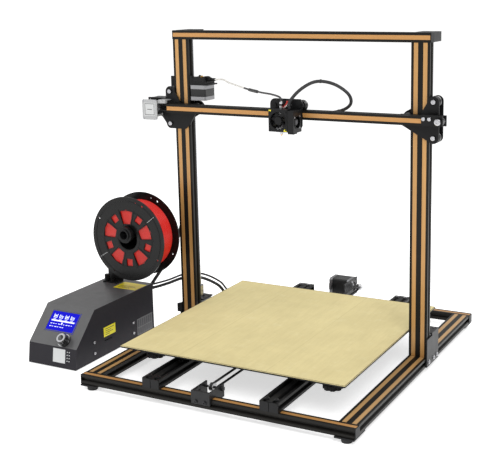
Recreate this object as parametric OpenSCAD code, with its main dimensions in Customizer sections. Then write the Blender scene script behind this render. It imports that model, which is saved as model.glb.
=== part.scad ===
// Bench-top filament printer with a moving bed, a lifting gantry and a separate control box.
// Units are millimetres. X runs along the gantry, Y front to back, Z up; feet stand on Z = 0.

/* [Frame] */
// Outer width of the base frame along X
frame_width = 610; // [600:5:630]
// Depth of the base frame along Y
frame_depth = 700; // [690:5:720]
// Height of the uprights above the base beams
upright_height = 660; // [640:5:700]
// Side of one square profile module
profile_size = 20; // [20:1:20]
// Front face of the uprights, measured from the front beam
upright_front = 380; // [376:1:384]
// Distance from the machine centre to the centre of each bed rail
rail_offset = 132; // [120:1:140]
// Height of the rubber feet with their plates
foot_height = 12; // [11:1:14]

/* [Bed] */
// Side of the square heated bed
bed_side = 510; // [480:5:512]
// Height of the bed's top face above the base beams
bed_top = 46; // [46:1:50]
// Distance of the bed's centre from the front beam at rest
bed_centre_y = 325; // [315:1:335]
// Thickness of the aluminium bed plate
bed_plate = 3; // [2:0.5:3.5]
// Thickness of the taped print surface
surface_plate = 1.5; // [1:0.5:2]

/* [Gantry] */
// Height of the gantry bar's centre above the base beams at rest
gantry_z = 506; // [480:2:520]
// Diameter of the grooved wheels
wheel_diameter = 23.4; // [22.8:0.1:23.4]
// Width of the grooved wheels
wheel_width = 10.2; // [9.6:0.2:10.4]
// Distance from a profile face to the axle of its wheels
wheel_standoff = 9.85; // [9.8:0.05:10]
// Vertical distance between the two outer wheels of each lift carriage
wheel_pitch = 73; // [70:1:76]
// Diameter of the lead screws
screw_diameter = 8; // [7:0.5:8]
// Distance of the lead screws from the machine centre
screw_offset = 283.5; // [282.5:0.5:284]

/* [Drive] */
// Side of the square stepper motors
motor_side = 42; // [41:0.2:42.2]
// Length of the bed motor
bed_motor_length = 58; // [48:1:60]
// Width of the toothed belts
belt_width = 6; // [5:0.5:6]
// Inner radius of the belt loops around their pulleys
belt_radius = 5.9; // [5.9:0.1:6.1]

/* [Hot end] */
// Width of the fan cover in front of the hot end
shroud_width = 44; // [42:1:45]
// Diameter of the cooling fan's rotor
fan_diameter = 34; // [30:1:35]
// Length of the brass nozzle below the heater block
nozzle_length = 8; // [7:0.5:9]

/* [Control box] */
// Width of the control box
box_width = 130; // [128:1:132]
// Height of the control box's top above the base beams
box_top = 84.5; // [82:0.5:88]
// Sheet thickness of the control box
box_sheet = 1.5; // [1:0.25:2]
// Diameter of the dial beside the display
dial_diameter = 30; // [24:1:32]

/* [Spool] */
// Outside diameter of the filament spool
spool_diameter = 196; // [180:2:196]
// Width of the filament spool over its flanges
spool_width = 64; // [60:1:64]
// Diameter of the tube that carries the spool
spool_tube = 26; // [22:1:28]

/* [Hidden] */
$fn = 64;
half = frame_width / 2;
up_x = half - profile_size;
up_y = upright_front + profile_size / 2;
side_x = half - 2 * profile_size;
box_right = -376;
box_left = box_right - box_width;
box_bottom = -30;
floor_z = -20 - foot_height;
idler_x = 332.7;
x_end = 342;
y_end = 780;
y_front = -7.6;
origin_x = (box_left - 1.8 + x_end) / 2;
origin_y = (y_front + y_end) / 2;
wheel_out = half + wheel_standoff;
wheel_in = side_x - wheel_standoff;
bar_y = 365.5;
bar_front = bar_y - 10;
car_y = 351;
motor_x = -353.5;
y_belt_x = -14;
y_axle_z = 8.5;
y_idler_y = 40;
y_motor_y = 759;
spool_x = -379;
spool_z = 212;
spool_rear = 342;
screw_y = 424;
ext_x = -242.5;
ext_y = 399;
hot_x = -10;
hot_y = 339.5;
slope_angle = 46.1;
car_left = -31;
car_right = 28;
car_mid = -1.5;

module at_origin() {
  translate([-origin_x, -origin_y, -floor_z]) children();
}

// One T-slot opening on the +Y side of a 20 mm cell.
module slot_2d() {
  polygon([[-4.6, 10.1], [-4.6, 10], [-3.1, 8.5], [-3.1, 8], [-5.5, 8], [-5.5, 6.6],
    [-2.8, 3.9], [2.8, 3.9], [5.5, 6.6], [5.5, 8], [3.1, 8], [3.1, 8.5], [4.6, 10],
    [4.6, 10.1]]);
}

module profile_20() {
  difference() {
    square([20, 20], center = true);
    for (a = [0:90:270]) rotate(a) slot_2d();
    circle(r = 2.1);
  }
}

module profile_40() {
  difference() {
    square([40, 20], center = true);
    for (x = [-10, 10]) {
      translate([x, 0]) slot_2d();
      translate([x, 0]) rotate(180) slot_2d();
      translate([x, 0]) circle(r = 2.1);
    }
    translate([-10, 0]) rotate(90) slot_2d();
    translate([10, 0]) rotate(-90) slot_2d();
    translate([-3, -2.5]) square([6, 5]);
  }
}

module along_x(x0, x1) {
  translate([x0, 0, 0]) rotate([90, 0, 90]) linear_extrude(x1 - x0) children();
}

module along_y(y0, y1) {
  translate([0, y1, 0]) rotate([90, 0, 0]) linear_extrude(y1 - y0) children();
}

module along_z(z0, z1) {
  translate([0, 0, z0]) linear_extrude(z1 - z0) children();
}

module box_at(x0, x1, y0, y1, z0, z1) {
  translate([x0, y0, z0]) cube([x1 - x0, y1 - y0, z1 - z0]);
}

module rod_y(x, z, y0, y1, r) {
  translate([x, y0, z]) rotate([-90, 0, 0]) cylinder(h = y1 - y0, r = r);
}

module rod_x(y, z, x0, x1, r) {
  translate([x0, y, z]) rotate([0, 90, 0]) cylinder(h = x1 - x0, r = r);
}

module rod_z(x, y, z0, z1, r) {
  translate([x, y, z0]) cylinder(h = z1 - z0, r = r);
}

// Grooved wheel, axis along local Z, centred on the origin.
module v_wheel() {
  rw = wheel_diameter / 2;
  hw = wheel_width / 2;
  rotate_extrude() difference() {
    polygon([[2.55, -hw + 1], [4, -hw + 1], [4, -hw], [rw - 2.8, -hw], [rw - 0.35, -2.65],
      [rw, -2.4], [rw, 2.4], [rw - 0.35, 2.65], [rw - 2.8, hw], [4, hw], [4, hw - 1],
      [2.55, hw - 1]]);
    translate([7.4, hw - 0.6]) square([0.8, 1]);
    translate([7.4, -hw - 0.4]) square([0.8, 1]);
  }
}

// Motor body with its caps, shaft side up, top face at Z = 0.
module motor_body(length) {
  s = motor_side;
  difference() {
    translate([-s / 2, -s / 2, -length]) cube([s, s, length]);
    for (a = [0:90:270]) rotate(a) translate([s / 2, s / 2, -length / 2]) rotate(45)
      cube([5, 5, length + 2], center = true);
    for (a = [0:90:270]) rotate(a) translate([15.5, 15.5, -4.5]) cylinder(h = 5, r = 1.5);
    for (a = [0:90:270]) rotate(a) translate([-s / 2 - 1, -s / 2 - 1, -length + 9])
      cube([s + 2, 1.5, length - 18]);
  }
  translate([-8, -s / 2 - 4.5, -length + 1]) cube([16, 6, 7]);
}

// Screw with a domed head, head on +Z, seat at Z = 0.
module cap_screw(r_head, h_head) {
  difference() {
    union() {
      cylinder(h = h_head * 0.55, r = r_head);
      translate([0, 0, h_head * 0.55]) cylinder(h = h_head * 0.45, r = r_head * 0.78);
    }
    translate([0, 0, h_head * 0.4]) cylinder(h = h_head, r = r_head * 0.42, $fn = 6);
  }
}

module belt_loop(length) {
  linear_extrude(belt_width, center = true) difference() {
    union() {
      circle(r = belt_radius + 1.4);
      translate([0, -belt_radius - 1.4]) square([length, 2 * belt_radius + 2.8]);
      translate([length, 0]) circle(r = belt_radius + 1.4);
    }
    circle(r = belt_radius);
    translate([0, -belt_radius]) square([length, 2 * belt_radius]);
    translate([length, 0]) circle(r = belt_radius);
  }
}

// Toothed pulley, axis along Z, belt plane at Z = 0, hub towards +Z.
module toothed_pulley(bore, hub) {
  difference() {
    union() {
      cylinder(h = belt_width + 0.8, r = belt_radius - 0.35, center = true);
      translate([0, 0, belt_width / 2 + 0.4]) cylinder(h = 1.2, r = 8.4);
      translate([0, 0, -belt_width / 2 - 1.6]) cylinder(h = 1.2, r = 8.4);
      if (hub > 0) translate([0, 0, belt_width / 2 + 1]) cylinder(h = hub, r = 7.6);
    }
    for (a = [0:24:336]) rotate(a) translate([belt_radius + 0.1, 0, 0])
      cylinder(h = belt_width + 0.4, r = 0.75, center = true, $fn = 16);
    if (bore > 0) cylinder(h = 60, r = bore, center = true);
  }
}

// ---------- cords ----------
function sub3(a, b) = a - b;
function unit3(v) = v / max(norm(v), 0.000001);
function cat_point(p, i, t) =
  let(n = len(p) - 1,
    a = p[max(i - 1, 0)], b = p[i], c = p[min(i + 1, n)], d = p[min(i + 2, n)])
  0.5 * ((2 * b) + (c - a) * t + (2 * a - 5 * b + 4 * c - d) * t * t
    + (3 * b - a - 3 * c + d) * t * t * t);
function cord_line(p, steps) = [
  for (i = [0:len(p) - 2]) for (s = [0:steps - 1]) cat_point(p, i, s / steps),
  p[len(p) - 1]];
function cord_dir(q, i) = unit3(q[min(i + 1, len(q) - 1)] - q[max(i - 1, 0)]);
function cord_side(q, i) = i == 0
  ? unit3(cross(cord_dir(q, 0), [0.123, 0.456, 0.882]))
  : let(t = cord_dir(q, i), s = cord_side(q, i - 1)) unit3(s - t * (s * t));
function cord_sides(q) = [for (i = [0:len(q) - 1]) cord_side(q, i)];
function cord_rings(q, s, r, n) = [
  for (i = [0:len(q) - 1]) let(t = cord_dir(q, i), u = s[i], w = cross(t, u))
    for (k = [0:n - 1]) q[i] + r * (u * cos(360 * k / n) + w * sin(360 * k / n))];
function cord_faces(m, n) = concat(
  [[for (k = [0:n - 1]) k]],
  [for (i = [0:m - 2]) for (k = [0:n - 1])
    [i * n + k, (i + 1) * n + k, (i + 1) * n + (k + 1) % n, i * n + (k + 1) % n]],
  [[for (k = [0:n - 1]) (m - 1) * n + n - 1 - k]]);

module cord(points, r, n, steps) {
  q = cord_line(points, steps);
  s = cord_sides(q);
  polyhedron(points = cord_rings(q, s, r, n), faces = cord_faces(len(q), n), convexity = 8);
}

bowden_points = [[-211, 392.5, 571], [-200, 392.3, 571.2], [-180, 388, 572], [-159, 380, 566], [-100, 362, 555],
  [-62, 350, 551], [-36, 344, 549], [-14, 340.6, 544], [hot_x, hot_y, 536.5], [hot_x, hot_y, 530.5]];
hot_loom_points = [[10, 338, 518], [11, 338.6, 536], [34, 345, 562], [60, 365, 577],
  [100, 366, 573], [130, 374, 552], [128, 386, 528], [95, 388, 512], [30, 384, 507],
  [-60, 383, 506], [-150, 383, 505], [-225, 384, 505]];
gantry_loom_points = [[-405, 362, 60], [-405, 372, 60], [-404, 388, 64], [-397, 404, 82], [-377, 420, 120],
  [-350, 434, 175], [-328, 446, 280], [-324, 446, 400], [-326, 440, 480], [-324, 426, 530],
  [-318, 416, 552]];
bed_cable_points = [[-430, 362, 60], [-430, 372, 60], [-429, 394, 56], [-416, 420, 52], [-384, 436, 62],
  [-344, 448, 78], [-304, 462, 80], [-270, 484, 60], [-260, 512, 30], [-236, 546, 20],
  [-200, 556, 24], [-160, 552, 32], [-130, 546, 37.8]];

// ---------- frame ----------
module base_beams() {
  color([0.1, 0.09, 0.08]) at_origin() {
    for (y = [10, frame_depth - 10]) translate([0, y, -10]) along_x(-half, half) profile_20();
    for (x = [-up_x, up_x]) translate([x, 0, -10]) along_y(20, frame_depth - 20) profile_40();
  }
}

module y_rails() {
  color([0.06, 0.06, 0.06]) at_origin()
    for (x = [-rail_offset, rail_offset]) translate([x, 0, 10]) along_y(0, frame_depth)
      profile_40();
}

module upright_frame() {
  color([0.1, 0.09, 0.08]) at_origin() {
    for (x = [-up_x, up_x]) translate([x, up_y, 0]) along_z(0, upright_height) profile_40();
    translate([0, up_y, upright_height + 10]) along_x(-half, half) profile_20();
  }
}

module end_caps() {
  color([0.05, 0.05, 0.05]) at_origin() {
    for (s = [-1, 1]) {
      for (y = [10, frame_depth - 10]) box_at(s * (half + 0.75) - 0.75,
        s * (half + 0.75) + 0.75, y - 9.6, y + 9.6, -19.6, -0.4);
      box_at(s * (half + 0.75) - 0.75, s * (half + 0.75) + 0.75, up_y - 9.6, up_y + 9.6,
        upright_height + 0.4, upright_height + 19.6);
      for (x = [-10, 10]) {
        box_at(s * rail_offset + x - 9.4, s * rail_offset + x + 9.4, -1.5, 0, 0.6, 19.4);
        box_at(s * rail_offset + x - 9.4, s * rail_offset + x + 9.4, frame_depth,
          frame_depth + 1.5, 0.6, 19.4);
      }
    }
  }
}

module corner_plates() {
  color([0.09, 0.09, 0.1]) at_origin()
    for (s = [-1, 1]) for (y = [-3, frame_depth - 48]) difference() {
      box_at(min(s * side_x, s * half), max(s * side_x, s * half), y, y + 51, -23, -20);
      for (x = [side_x + 8, half - 8]) rod_z(s * x, y + (y < 0 ? 42 : 9), -24, -19, 2.6);
    }
}

module rubber_feet() {
  color([0.03, 0.03, 0.03]) at_origin()
    for (s = [-1, 1]) for (y = [11, frame_depth - 11]) difference() {
      union() {
        rod_z(s * (half - 20), y, floor_z, -23, 10.4);
        rod_z(s * (half - 20), y, floor_z + 2, -23, 11);
      }
      rod_z(s * (half - 20), y, floor_z - 1, floor_z + 4, 4);
    }
}

module z_brackets() {
  color([0.2, 0.2, 0.21]) at_origin() for (s = [-1, 1]) {
    difference() {
      union() {
        box_at(min(s * 262, s * (half + 3)), max(s * 262, s * (half + 3)), 406, 447, 44, 47);
        box_at(min(s * half, s * (half + 3)), max(s * half, s * (half + 3)), 375, 406, -20, 41);
        box_at(min(s * half, s * (half + 3)), max(s * half, s * (half + 3)), 406, 447, -20, 45);
      }
      rod_z(s * screw_offset, screw_y, 43, 48, 11.2);
      for (dx = [-15.5, 15.5]) for (dy = [-15.5, 15.5])
        rod_z(s * screw_offset + dx, screw_y + dy, 43, 48, 1.6);
      for (y = [385, 415, 435]) rod_x(y, -10, min(s * (half - 1), s * (half + 4)),
        max(s * (half - 1), s * (half + 4)), 2.6);
    }
    difference() {
      box_at(min(s * side_x, s * half), max(s * side_x, s * half), up_y + 10, 448,
        upright_height, upright_height + 20);
      rod_z(s * screw_offset, screw_y, upright_height - 1, upright_height + 21,
        screw_diameter / 2 + 0.35);
      for (dx = [-13, 13]) rod_z(s * screw_offset + dx, 440, upright_height + 12,
        upright_height + 21, 2.2);
    }
  }
}

module frame_motors() {
  color([0.12, 0.12, 0.13]) at_origin() {
    for (s = [-1, 1]) translate([s * screw_offset, screw_y, 44]) rotate(180) motor_body(40);
    translate([-29, y_motor_y, y_axle_z]) rotate([0, 90, 0]) motor_body(bed_motor_length);
  }
}

module y_brackets() {
  color([0.22, 0.22, 0.23]) at_origin() {
    difference() {
      union() {
        box_at(-35.5, 6, -5, -0.1, -11, 15.5);
        box_at(-35.5, -32.5, -5, 50, -11, 15.5);
        box_at(3, 6, -5, 50, -11, 15.5);
      }
      box_at(-40, 10, -0.1, 20, -21, 0);
      for (x = [-25, -5]) rod_y(x, -6, -6, 0, 2.6);
    }
    rod_x(y_idler_y, y_axle_z, -35.5, 9.5, 2.5);
    rod_x(y_idler_y, y_axle_z, 6, 11, 4.6);
    rod_x(y_idler_y, y_axle_z, -38.5, -35.5, 4.6);
    rod_y(-30, 10, 0, 14, 5);
    difference() {
      union() {
        box_at(-29, -26, frame_depth, 780, -13, 29.6);
        box_at(-29, 14, frame_depth, frame_depth + 3, -19.5, 0);
      }
      rod_x(y_motor_y, y_axle_z, -30, -25, 11.2);
      for (dy = [-15.5, 15.5]) for (dz = [-15.5, 15.5])
        rod_x(y_motor_y + dy, y_axle_z + dz, -30, -25, 1.6);
    }
  }
}

module frame_screws() {
  color([0.7, 0.7, 0.7]) at_origin() {
    for (s = [-1, 1]) for (x = [-10, 10]) for (y = [12, frame_depth - 12])
      translate([s * rail_offset + x, y, 20]) cap_screw(5.3, 2.6);
    for (s = [-1, 1]) for (y = [385, 415, 435]) translate([s * (half + 3), y, -10])
      rotate([0, s * 90, 0]) cap_screw(4.6, 2.6);
    for (s = [-1, 1]) for (dx = [-15.5, 15.5]) for (dy = [-15.5, 15.5])
      translate([s * screw_offset + dx, screw_y + dy, 47]) cap_screw(2.8, 2);
    for (dy = [-15.5, 15.5]) for (dz = [-15.5, 15.5])
      translate([-26, y_motor_y + dy, y_axle_z + dz]) rotate([0, 90, 0]) cap_screw(2.8, 2);
    for (x = [-25, -5]) translate([x, -5, -6]) rotate([90, 0, 0]) cap_screw(4.4, 2.6);
  }
}

// ---------- control box ----------
module box_outline(t) {
  polygon([[69 + t * 1.05, box_bottom - (t > 0 ? 1 : 0)], [75 + t * 0.95, 15 - t * 0.4],
    [75 + (box_top - 15) * 0.957 + t * 0.4, box_top - t], [361.6 - t, box_top - t],
    [361.6 - t, box_bottom - (t > 0 ? 1 : 0)]]);
}

module on_slope(x, s) {
  translate([box_left + x, 75, 15]) rotate([slope_angle, 0, 0]) translate([0, s, 0])
    children();
}

module box_cover() {
  color([0.3, 0.3, 0.31]) at_origin() difference() {
    along_x(box_left, box_right) box_outline(0);
    along_x(box_left + box_sheet, box_right - box_sheet) box_outline(box_sheet);
    on_slope(24, 32.5) translate([0, 0, -6]) cube([79, 50, 12]);
    on_slope(90, 15) translate([0, 0, -6]) cylinder(h = 12, r = 5.5);
    box_at(box_right - 5, box_right + 1, 172, 198, 1.6, 4.8);
    for (i = [0:4]) box_at(box_left - 1, box_left + 5, 150 + i * 22, 160 + i * 22, -12, 40);
    box_at(box_left + 34, box_left + 108, 355, 364, -20, 8);
    for (x = [76, 101]) rod_y(box_left + x, 60, 355, 364, 7);
    for (y = [136, 280]) for (z = [-13.5, 11.5]) for (s = [0, 1])
      rod_x(y, z, box_left - 1 + s * (box_width - 3), box_left + 4 + s * (box_width - 3), 1.6);
  }
}

module box_base() {
  color([0.2, 0.2, 0.21]) at_origin() {
    difference() {
      union() {
        box_at(box_left + box_sheet, box_right - box_sheet, 72, 359, -30, -28.5);
        box_at(box_left + box_sheet, box_left + box_sheet + 1.5, 90, 350, -30, 17);
        box_at(box_right - box_sheet - 1.5, box_right - box_sheet, 90, 350, -30, 17);
      }
      for (y = [100:24:330]) box_at(box_left + 25, box_right - 25, y, y + 6, -31, -28);
      for (i = [0:4]) box_at(box_left - 1, box_left + 5, 150 + i * 22, 160 + i * 22, -12, 18);
      box_at(box_right - 5, box_right + 1, 170, 200, 0.5, 6);
      for (y = [136, 280]) for (z = [-13.5, 11.5])
        rod_x(y, z, box_left - 1, box_right + 1, 1.6);
    }
    for (x = [box_left + 12, box_right - 12]) for (y = [85, 345])
      rod_z(x, y, floor_z, -30, 6);
    box_at(box_left + 12, box_right - 12, 126, 334, -28.5, 21);
    box_at(box_left + 10, box_right - 10, 76, 121, -18, -16.4);
    for (x = [box_left + 16, box_right - 16]) for (y = [84, 116]) rod_z(x, y, -28.5, -18, 3);
    box_at(box_right - 30, box_right - 4, 172, 198, -1, 1.2);
    for (y = [136, 280]) for (z = [-13.5, 11.5]) {
      translate([box_right, y, z]) rotate([0, 90, 0]) cap_screw(3, 1.8);
      translate([box_left, y, z]) rotate([0, -90, 0]) cap_screw(3, 1.8);
    }
  }
}

module display_module() {
  color([0.05, 0.05, 0.4]) at_origin() {
    on_slope(24.4, 32.9) translate([0, 0, -2]) cube([78.2, 49.2, 2.6]);
    on_slope(18, 8) translate([0, 0, -8]) cube([92, 80, 1.6]);
    on_slope(24.4, 32.9) translate([0, 0, -6.4]) cube([78.2, 49.2, 4.4]);
    on_slope(90, 15) translate([0, 0, -6.4]) cylinder(h = 5.2, r = 5);
  }
}

module encoder_knob() {
  color([0.1, 0.1, 0.1]) at_origin() on_slope(90, 15) {
    difference() {
      union() {
        translate([0, 0, 1]) cylinder(h = 3, r = dial_diameter / 2);
        translate([0, 0, 4]) cylinder(h = 12, r = dial_diameter / 2 - 2);
        translate([0, 0, 16]) cylinder(h = 1, r = dial_diameter / 2 - 3);
      }
      for (a = [0:60:300]) rotate(a) translate([dial_diameter / 2 + 1.2, 0, 5])
        cylinder(h = 14, r = 4.6);
    }
    translate([0, 0, -0.8]) cylinder(h = 2, r = 3);
  }
}

module power_inlet() {
  color([0.06, 0.06, 0.06]) at_origin() {
    difference() {
      union() {
        box_at(box_left + 30, box_left + 112, 361.6, 364, -23, 11);
        box_at(box_left + 36, box_left + 106, 340, 361.6, -18, 6);
      }
      box_at(box_left + 42, box_left + 70, 350, 365, -15, 3);
      box_at(box_left + 79, box_left + 99, 350, 365, -15, 3);
    }
    for (x = [50, 56, 62]) box_at(box_left + x - 1, box_left + x + 1, 350, 352.6,
      x == 56 ? -5 : -9, x == 56 ? -1 : -5);
    for (x = [76, 101]) difference() {
      rod_y(box_left + x, 60, 355, 371, 6.8);
      rod_y(box_left + x, 60, 354, 372, x > 90 ? 4.22 : 3.62);
    }
    for (x = [76, 101]) difference() {
      rod_y(box_left + x, 60, 361.6, 365, 9);
      rod_y(box_left + x, 60, 361, 366, 6.8);
    }
  }
}

module power_rocker() {
  color([0.6, 0.05, 0.05]) at_origin() translate([box_left + 89, 360, -6])
    rotate([-6, 0, 0]) {
    difference() {
      union() {
        rotate([6, 0, 0]) translate([-9.4, -2.4, -8.2]) cube([18.8, 5.6, 8.4]);
        rotate([-6, 0, 0]) translate([-9.4, -2.4, -0.2]) cube([18.8, 5.6, 8.4]);
      }
      translate([-10, -9, -10]) cube([20, 6.4, 20]);
    }
  }
}

module spool_bracket() {
  color([0.07, 0.07, 0.07]) at_origin() {
    difference() {
      union() {
        box_at(-491, -450, 322, 347, box_top, box_top + 3);
        along_y(344, 347) polygon([[-491, box_top], [-450, box_top], [-446, box_top + 18],
          [-356, 205], [-356, 245], [-402, 245], [-491, box_top + 34]]);
        rod_y(spool_x, spool_z + 12, 262, 347, spool_tube / 2);
        rod_y(spool_x, spool_z + 12, 342.6, 344, 20);
      }
      rod_y(spool_x, spool_z + 12, 255, 350, spool_tube / 2 - 3);
    }
    difference() {
      rod_y(spool_x, spool_z + 12, 265, 275, 19);
      rod_y(spool_x, spool_z + 12, 264, 276, spool_tube / 2);
      for (a = [0:45:315]) translate([spool_x, 260, spool_z + 12]) rotate([0, a, 0])
        translate([20.4, 0, 0]) rotate([-90, 0, 0]) cylinder(h = 20, r = 2.6);
    }
    rod_z(-484, 330, box_top + 3, box_top + 18, 6.2);
    translate([-467, 330, box_top + 3]) cap_screw(6, 5);
  }
}

module window_ring(r0, r1, a) {
  polygon([[r0 * cos(a), -r0 * sin(a)], [r1 * cos(a * 0.9), -r1 * sin(a * 0.9)],
    [r1 * 1.03, 0], [r1 * cos(a * 0.9), r1 * sin(a * 0.9)], [r0 * cos(a), r0 * sin(a)]]);
}

module spool_flange() {
  difference() {
    circle(r = spool_diameter / 2);
    circle(r = 27.5);
    for (i = [0:4]) rotate(i * 72 + 20) window_ring(36, 66, 17);
    for (i = [0:4]) rotate(i * 72 + 56) translate([47, -8.5]) square([17, 17]);
    for (i = [0:3]) rotate(i * 90 + 62) translate([spool_diameter / 2 - 9, 0])
      circle(r = 2.6);
    for (i = [0:1]) rotate(i * 180 + 74) translate([spool_diameter / 2 - 9, 0])
      circle(r = 1.6);
  }
}

module spool() {
  color([0.06, 0.06, 0.06]) at_origin()
    translate([spool_x, spool_rear - spool_width, spool_z]) {
      translate([0, 3, 0]) rotate([90, 0, 0]) linear_extrude(3) spool_flange();
      translate([0, spool_width, 0]) rotate([90, 0, 0]) linear_extrude(3) spool_flange();
      rotate([-90, 0, 0]) difference() {
        cylinder(h = spool_width, r = 30);
        translate([0, 0, -1]) cylinder(h = spool_width + 2, r = 25.4);
      }
      for (r = [66, 88]) rotate([90, 0, 0]) difference() {
        cylinder(h = 0.8, r = r + 0.8);
        translate([0, 0, -1]) cylinder(h = 3, r = r);
      }
    }
}

module filament_coil() {
  color([0.86, 0.08, 0.05]) at_origin()
    translate([spool_x, spool_rear - spool_width + 3, spool_z]) rotate([-90, 0, 0])
      difference() {
        cylinder(h = spool_width - 6, r = spool_diameter / 2 - 18);
        translate([0, 0, -1]) cylinder(h = spool_width, r = 30);
      }
}

// ---------- lift ----------
module lead_screw(s) {
  r = screw_diameter / 2;
  translate([s * screw_offset, screw_y, 0]) {
    translate([0, 0, 44.4]) cylinder(h = 5.2, r = 2.5);
    difference() {
      translate([0, 0, 49.6]) cylinder(h = 25, r = 9.5);
      for (z = [55, 68]) translate([0, 0, z]) rotate([90, 0, 0]) translate([0, 0, 6])
        cylinder(h = 5, r = 1.6);
      translate([0, -6, 61.6]) cube([20, 20, 0.8]);
    }
    translate([0, 0, 74.6]) cylinder(h = upright_height + 18 - 74.6, r = r);
  }
}

module left_lead_screw() {
  color([0.7, 0.7, 0.7]) at_origin() lead_screw(-1);
}

module right_lead_screw() {
  color([0.7, 0.7, 0.7]) at_origin() lead_screw(1);
}

// ---------- bed drive ----------
module y_belt() {
  color([0.05, 0.05, 0.05]) at_origin() translate([y_belt_x, y_idler_y, y_axle_z])
    rotate([90, 0, 90]) belt_loop(y_motor_y - y_idler_y);
}

module y_drive_pulley() {
  color([0.7, 0.7, 0.7]) at_origin() translate([y_belt_x, y_motor_y, y_axle_z])
    rotate([0, 90, 0]) {
      toothed_pulley(0, 6);
      translate([0, 0, -14.6]) cylinder(h = 26, r = 2.5);
    }
}

module y_idler_pulley() {
  color([0.7, 0.7, 0.7]) at_origin() translate([y_belt_x, y_idler_y, y_axle_z])
    rotate([0, 90, 0]) toothed_pulley(2.55, 0);
}

module bed_carriage() {
  color([0.09, 0.09, 0.1]) at_origin() {
    difference() {
      union() {
        box_at(-176, 176, bed_centre_y - 102, bed_centre_y + 102, 23, 26);
        for (s = [-1, 1]) for (t = [-1, 1]) along_z(23, 26)
          polygon([[s * 110, bed_centre_y + t * 96], [s * 176, bed_centre_y + t * 60],
            [s * 222, bed_centre_y + t * 190], [s * 222, bed_centre_y + t * 216],
            [s * 190, bed_centre_y + t * 216]]);
      }
      for (s = [-1, 1]) for (t = [-1, 1]) rod_z(s * 205, bed_centre_y + t * 200, 22, 27, 2.4);
      box_at(-80, 80, bed_centre_y - 66, bed_centre_y - 18, 22, 27);
      box_at(-80, 80, bed_centre_y + 18, bed_centre_y + 66, 22, 27);
      for (s = [-1, 1]) for (t = [-80, 80]) for (u = [-1, 1])
        rod_z(s * rail_offset + u * (20 + wheel_standoff), bed_centre_y + t, 22, 27, 2.5);
    }
    for (s = [-1, 1]) for (t = [-80, 80]) for (u = [-1, 1])
      translate([s * rail_offset + u * (20 + wheel_standoff), bed_centre_y + t, 0]) {
        translate([0, 0, 1]) cylinder(h = 25, r = 2.5);
        translate([0, 0, 1]) cylinder(h = 3.6, r = 4.4, $fn = 6);
        translate([0, 0, 26]) cylinder(h = 3.4, r = 4.6);
        difference() {
          translate([0, 0, 15.3]) cylinder(h = 7.7, r = 4);
          translate([0, 0, 15]) cylinder(h = 9, r = 2.5);
        }
      }
    for (s = [-1, 1]) for (t = [-1, 1]) translate([s * 205, bed_centre_y + t * 200, 0]) {
      difference() {
        union() {
          translate([0, 0, 26]) cylinder(h = bed_top - surface_plate - bed_plate - 26, r = 4.2);
          for (i = [0:4]) translate([0, 0, 26 + i * 3]) cylinder(h = 1.6, r = 5);
        }
        translate([0, 0, 25]) cylinder(h = 30, r = 3.4);
      }
    }
    box_at(-20, -8, bed_centre_y - 9, bed_centre_y + 9, 17.4, 23);
  }
}

module levelling_knobs() {
  color([0.07, 0.07, 0.07]) at_origin() for (s = [-1, 1]) for (t = [-1, 1])
    translate([s * 205, bed_centre_y + t * 200, 0]) {
      difference() {
        translate([0, 0, 13]) cylinder(h = 9.6, r = 20);
        for (a = [0:45:315]) rotate(a) translate([22, 0, 12]) cylinder(h = 12, r = 4.5);
      }
      translate([0, 0, 22]) cylinder(h = bed_top - surface_plate - bed_plate - 22, r = 2);
    }
}

module heated_bed() {
  color([0.05, 0.05, 0.05]) at_origin() difference() {
    box_at(-bed_side / 2, bed_side / 2, bed_centre_y - bed_side / 2,
      bed_centre_y + bed_side / 2, bed_top - surface_plate - bed_plate,
      bed_top - surface_plate);
  }
}

module print_surface() {
  color([0.9, 0.85, 0.63]) at_origin()
    box_at(-bed_side / 2, bed_side / 2, bed_centre_y - bed_side / 2,
      bed_centre_y + bed_side / 2, bed_top - surface_plate, bed_top);
}

module bed_wheels() {
  color([0.04, 0.04, 0.04]) at_origin()
    for (s = [-1, 1]) for (t = [-80, 80]) for (u = [-1, 1])
      translate([s * rail_offset + u * (20 + wheel_standoff), bed_centre_y + t, 10]) v_wheel();
}

// ---------- gantry ----------
module x_bar() {
  color([0.1, 0.09, 0.08]) at_origin() translate([0, bar_y, gantry_z]) along_x(-312, 317)
    profile_20();
}

module plate_shape(s) {
  hull() {
    translate([s * wheel_out, wheel_pitch / 2]) circle(r = 11.7, $fn = 32);
    translate([s * wheel_out, -wheel_pitch / 2]) circle(r = 11.7, $fn = 32);
    translate([s * wheel_in, 0]) circle(r = 15, $fn = 32);
  }
}

// The open corner above the bar, where the front plate leaves the upright's slots free.
module web_cut(s) {
  polygon([[s * 235, 10.4], [s * 287, 10.4], [s * 302, 36], [s * 302, 60], [s * 235, 60]]);
}
module axle_holes(s) {
  for (z = [-1, 1]) translate([s * wheel_out, z * wheel_pitch / 2]) circle(r = 2.5);
  translate([s * wheel_in, 0]) circle(r = 2.5);
}

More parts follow.
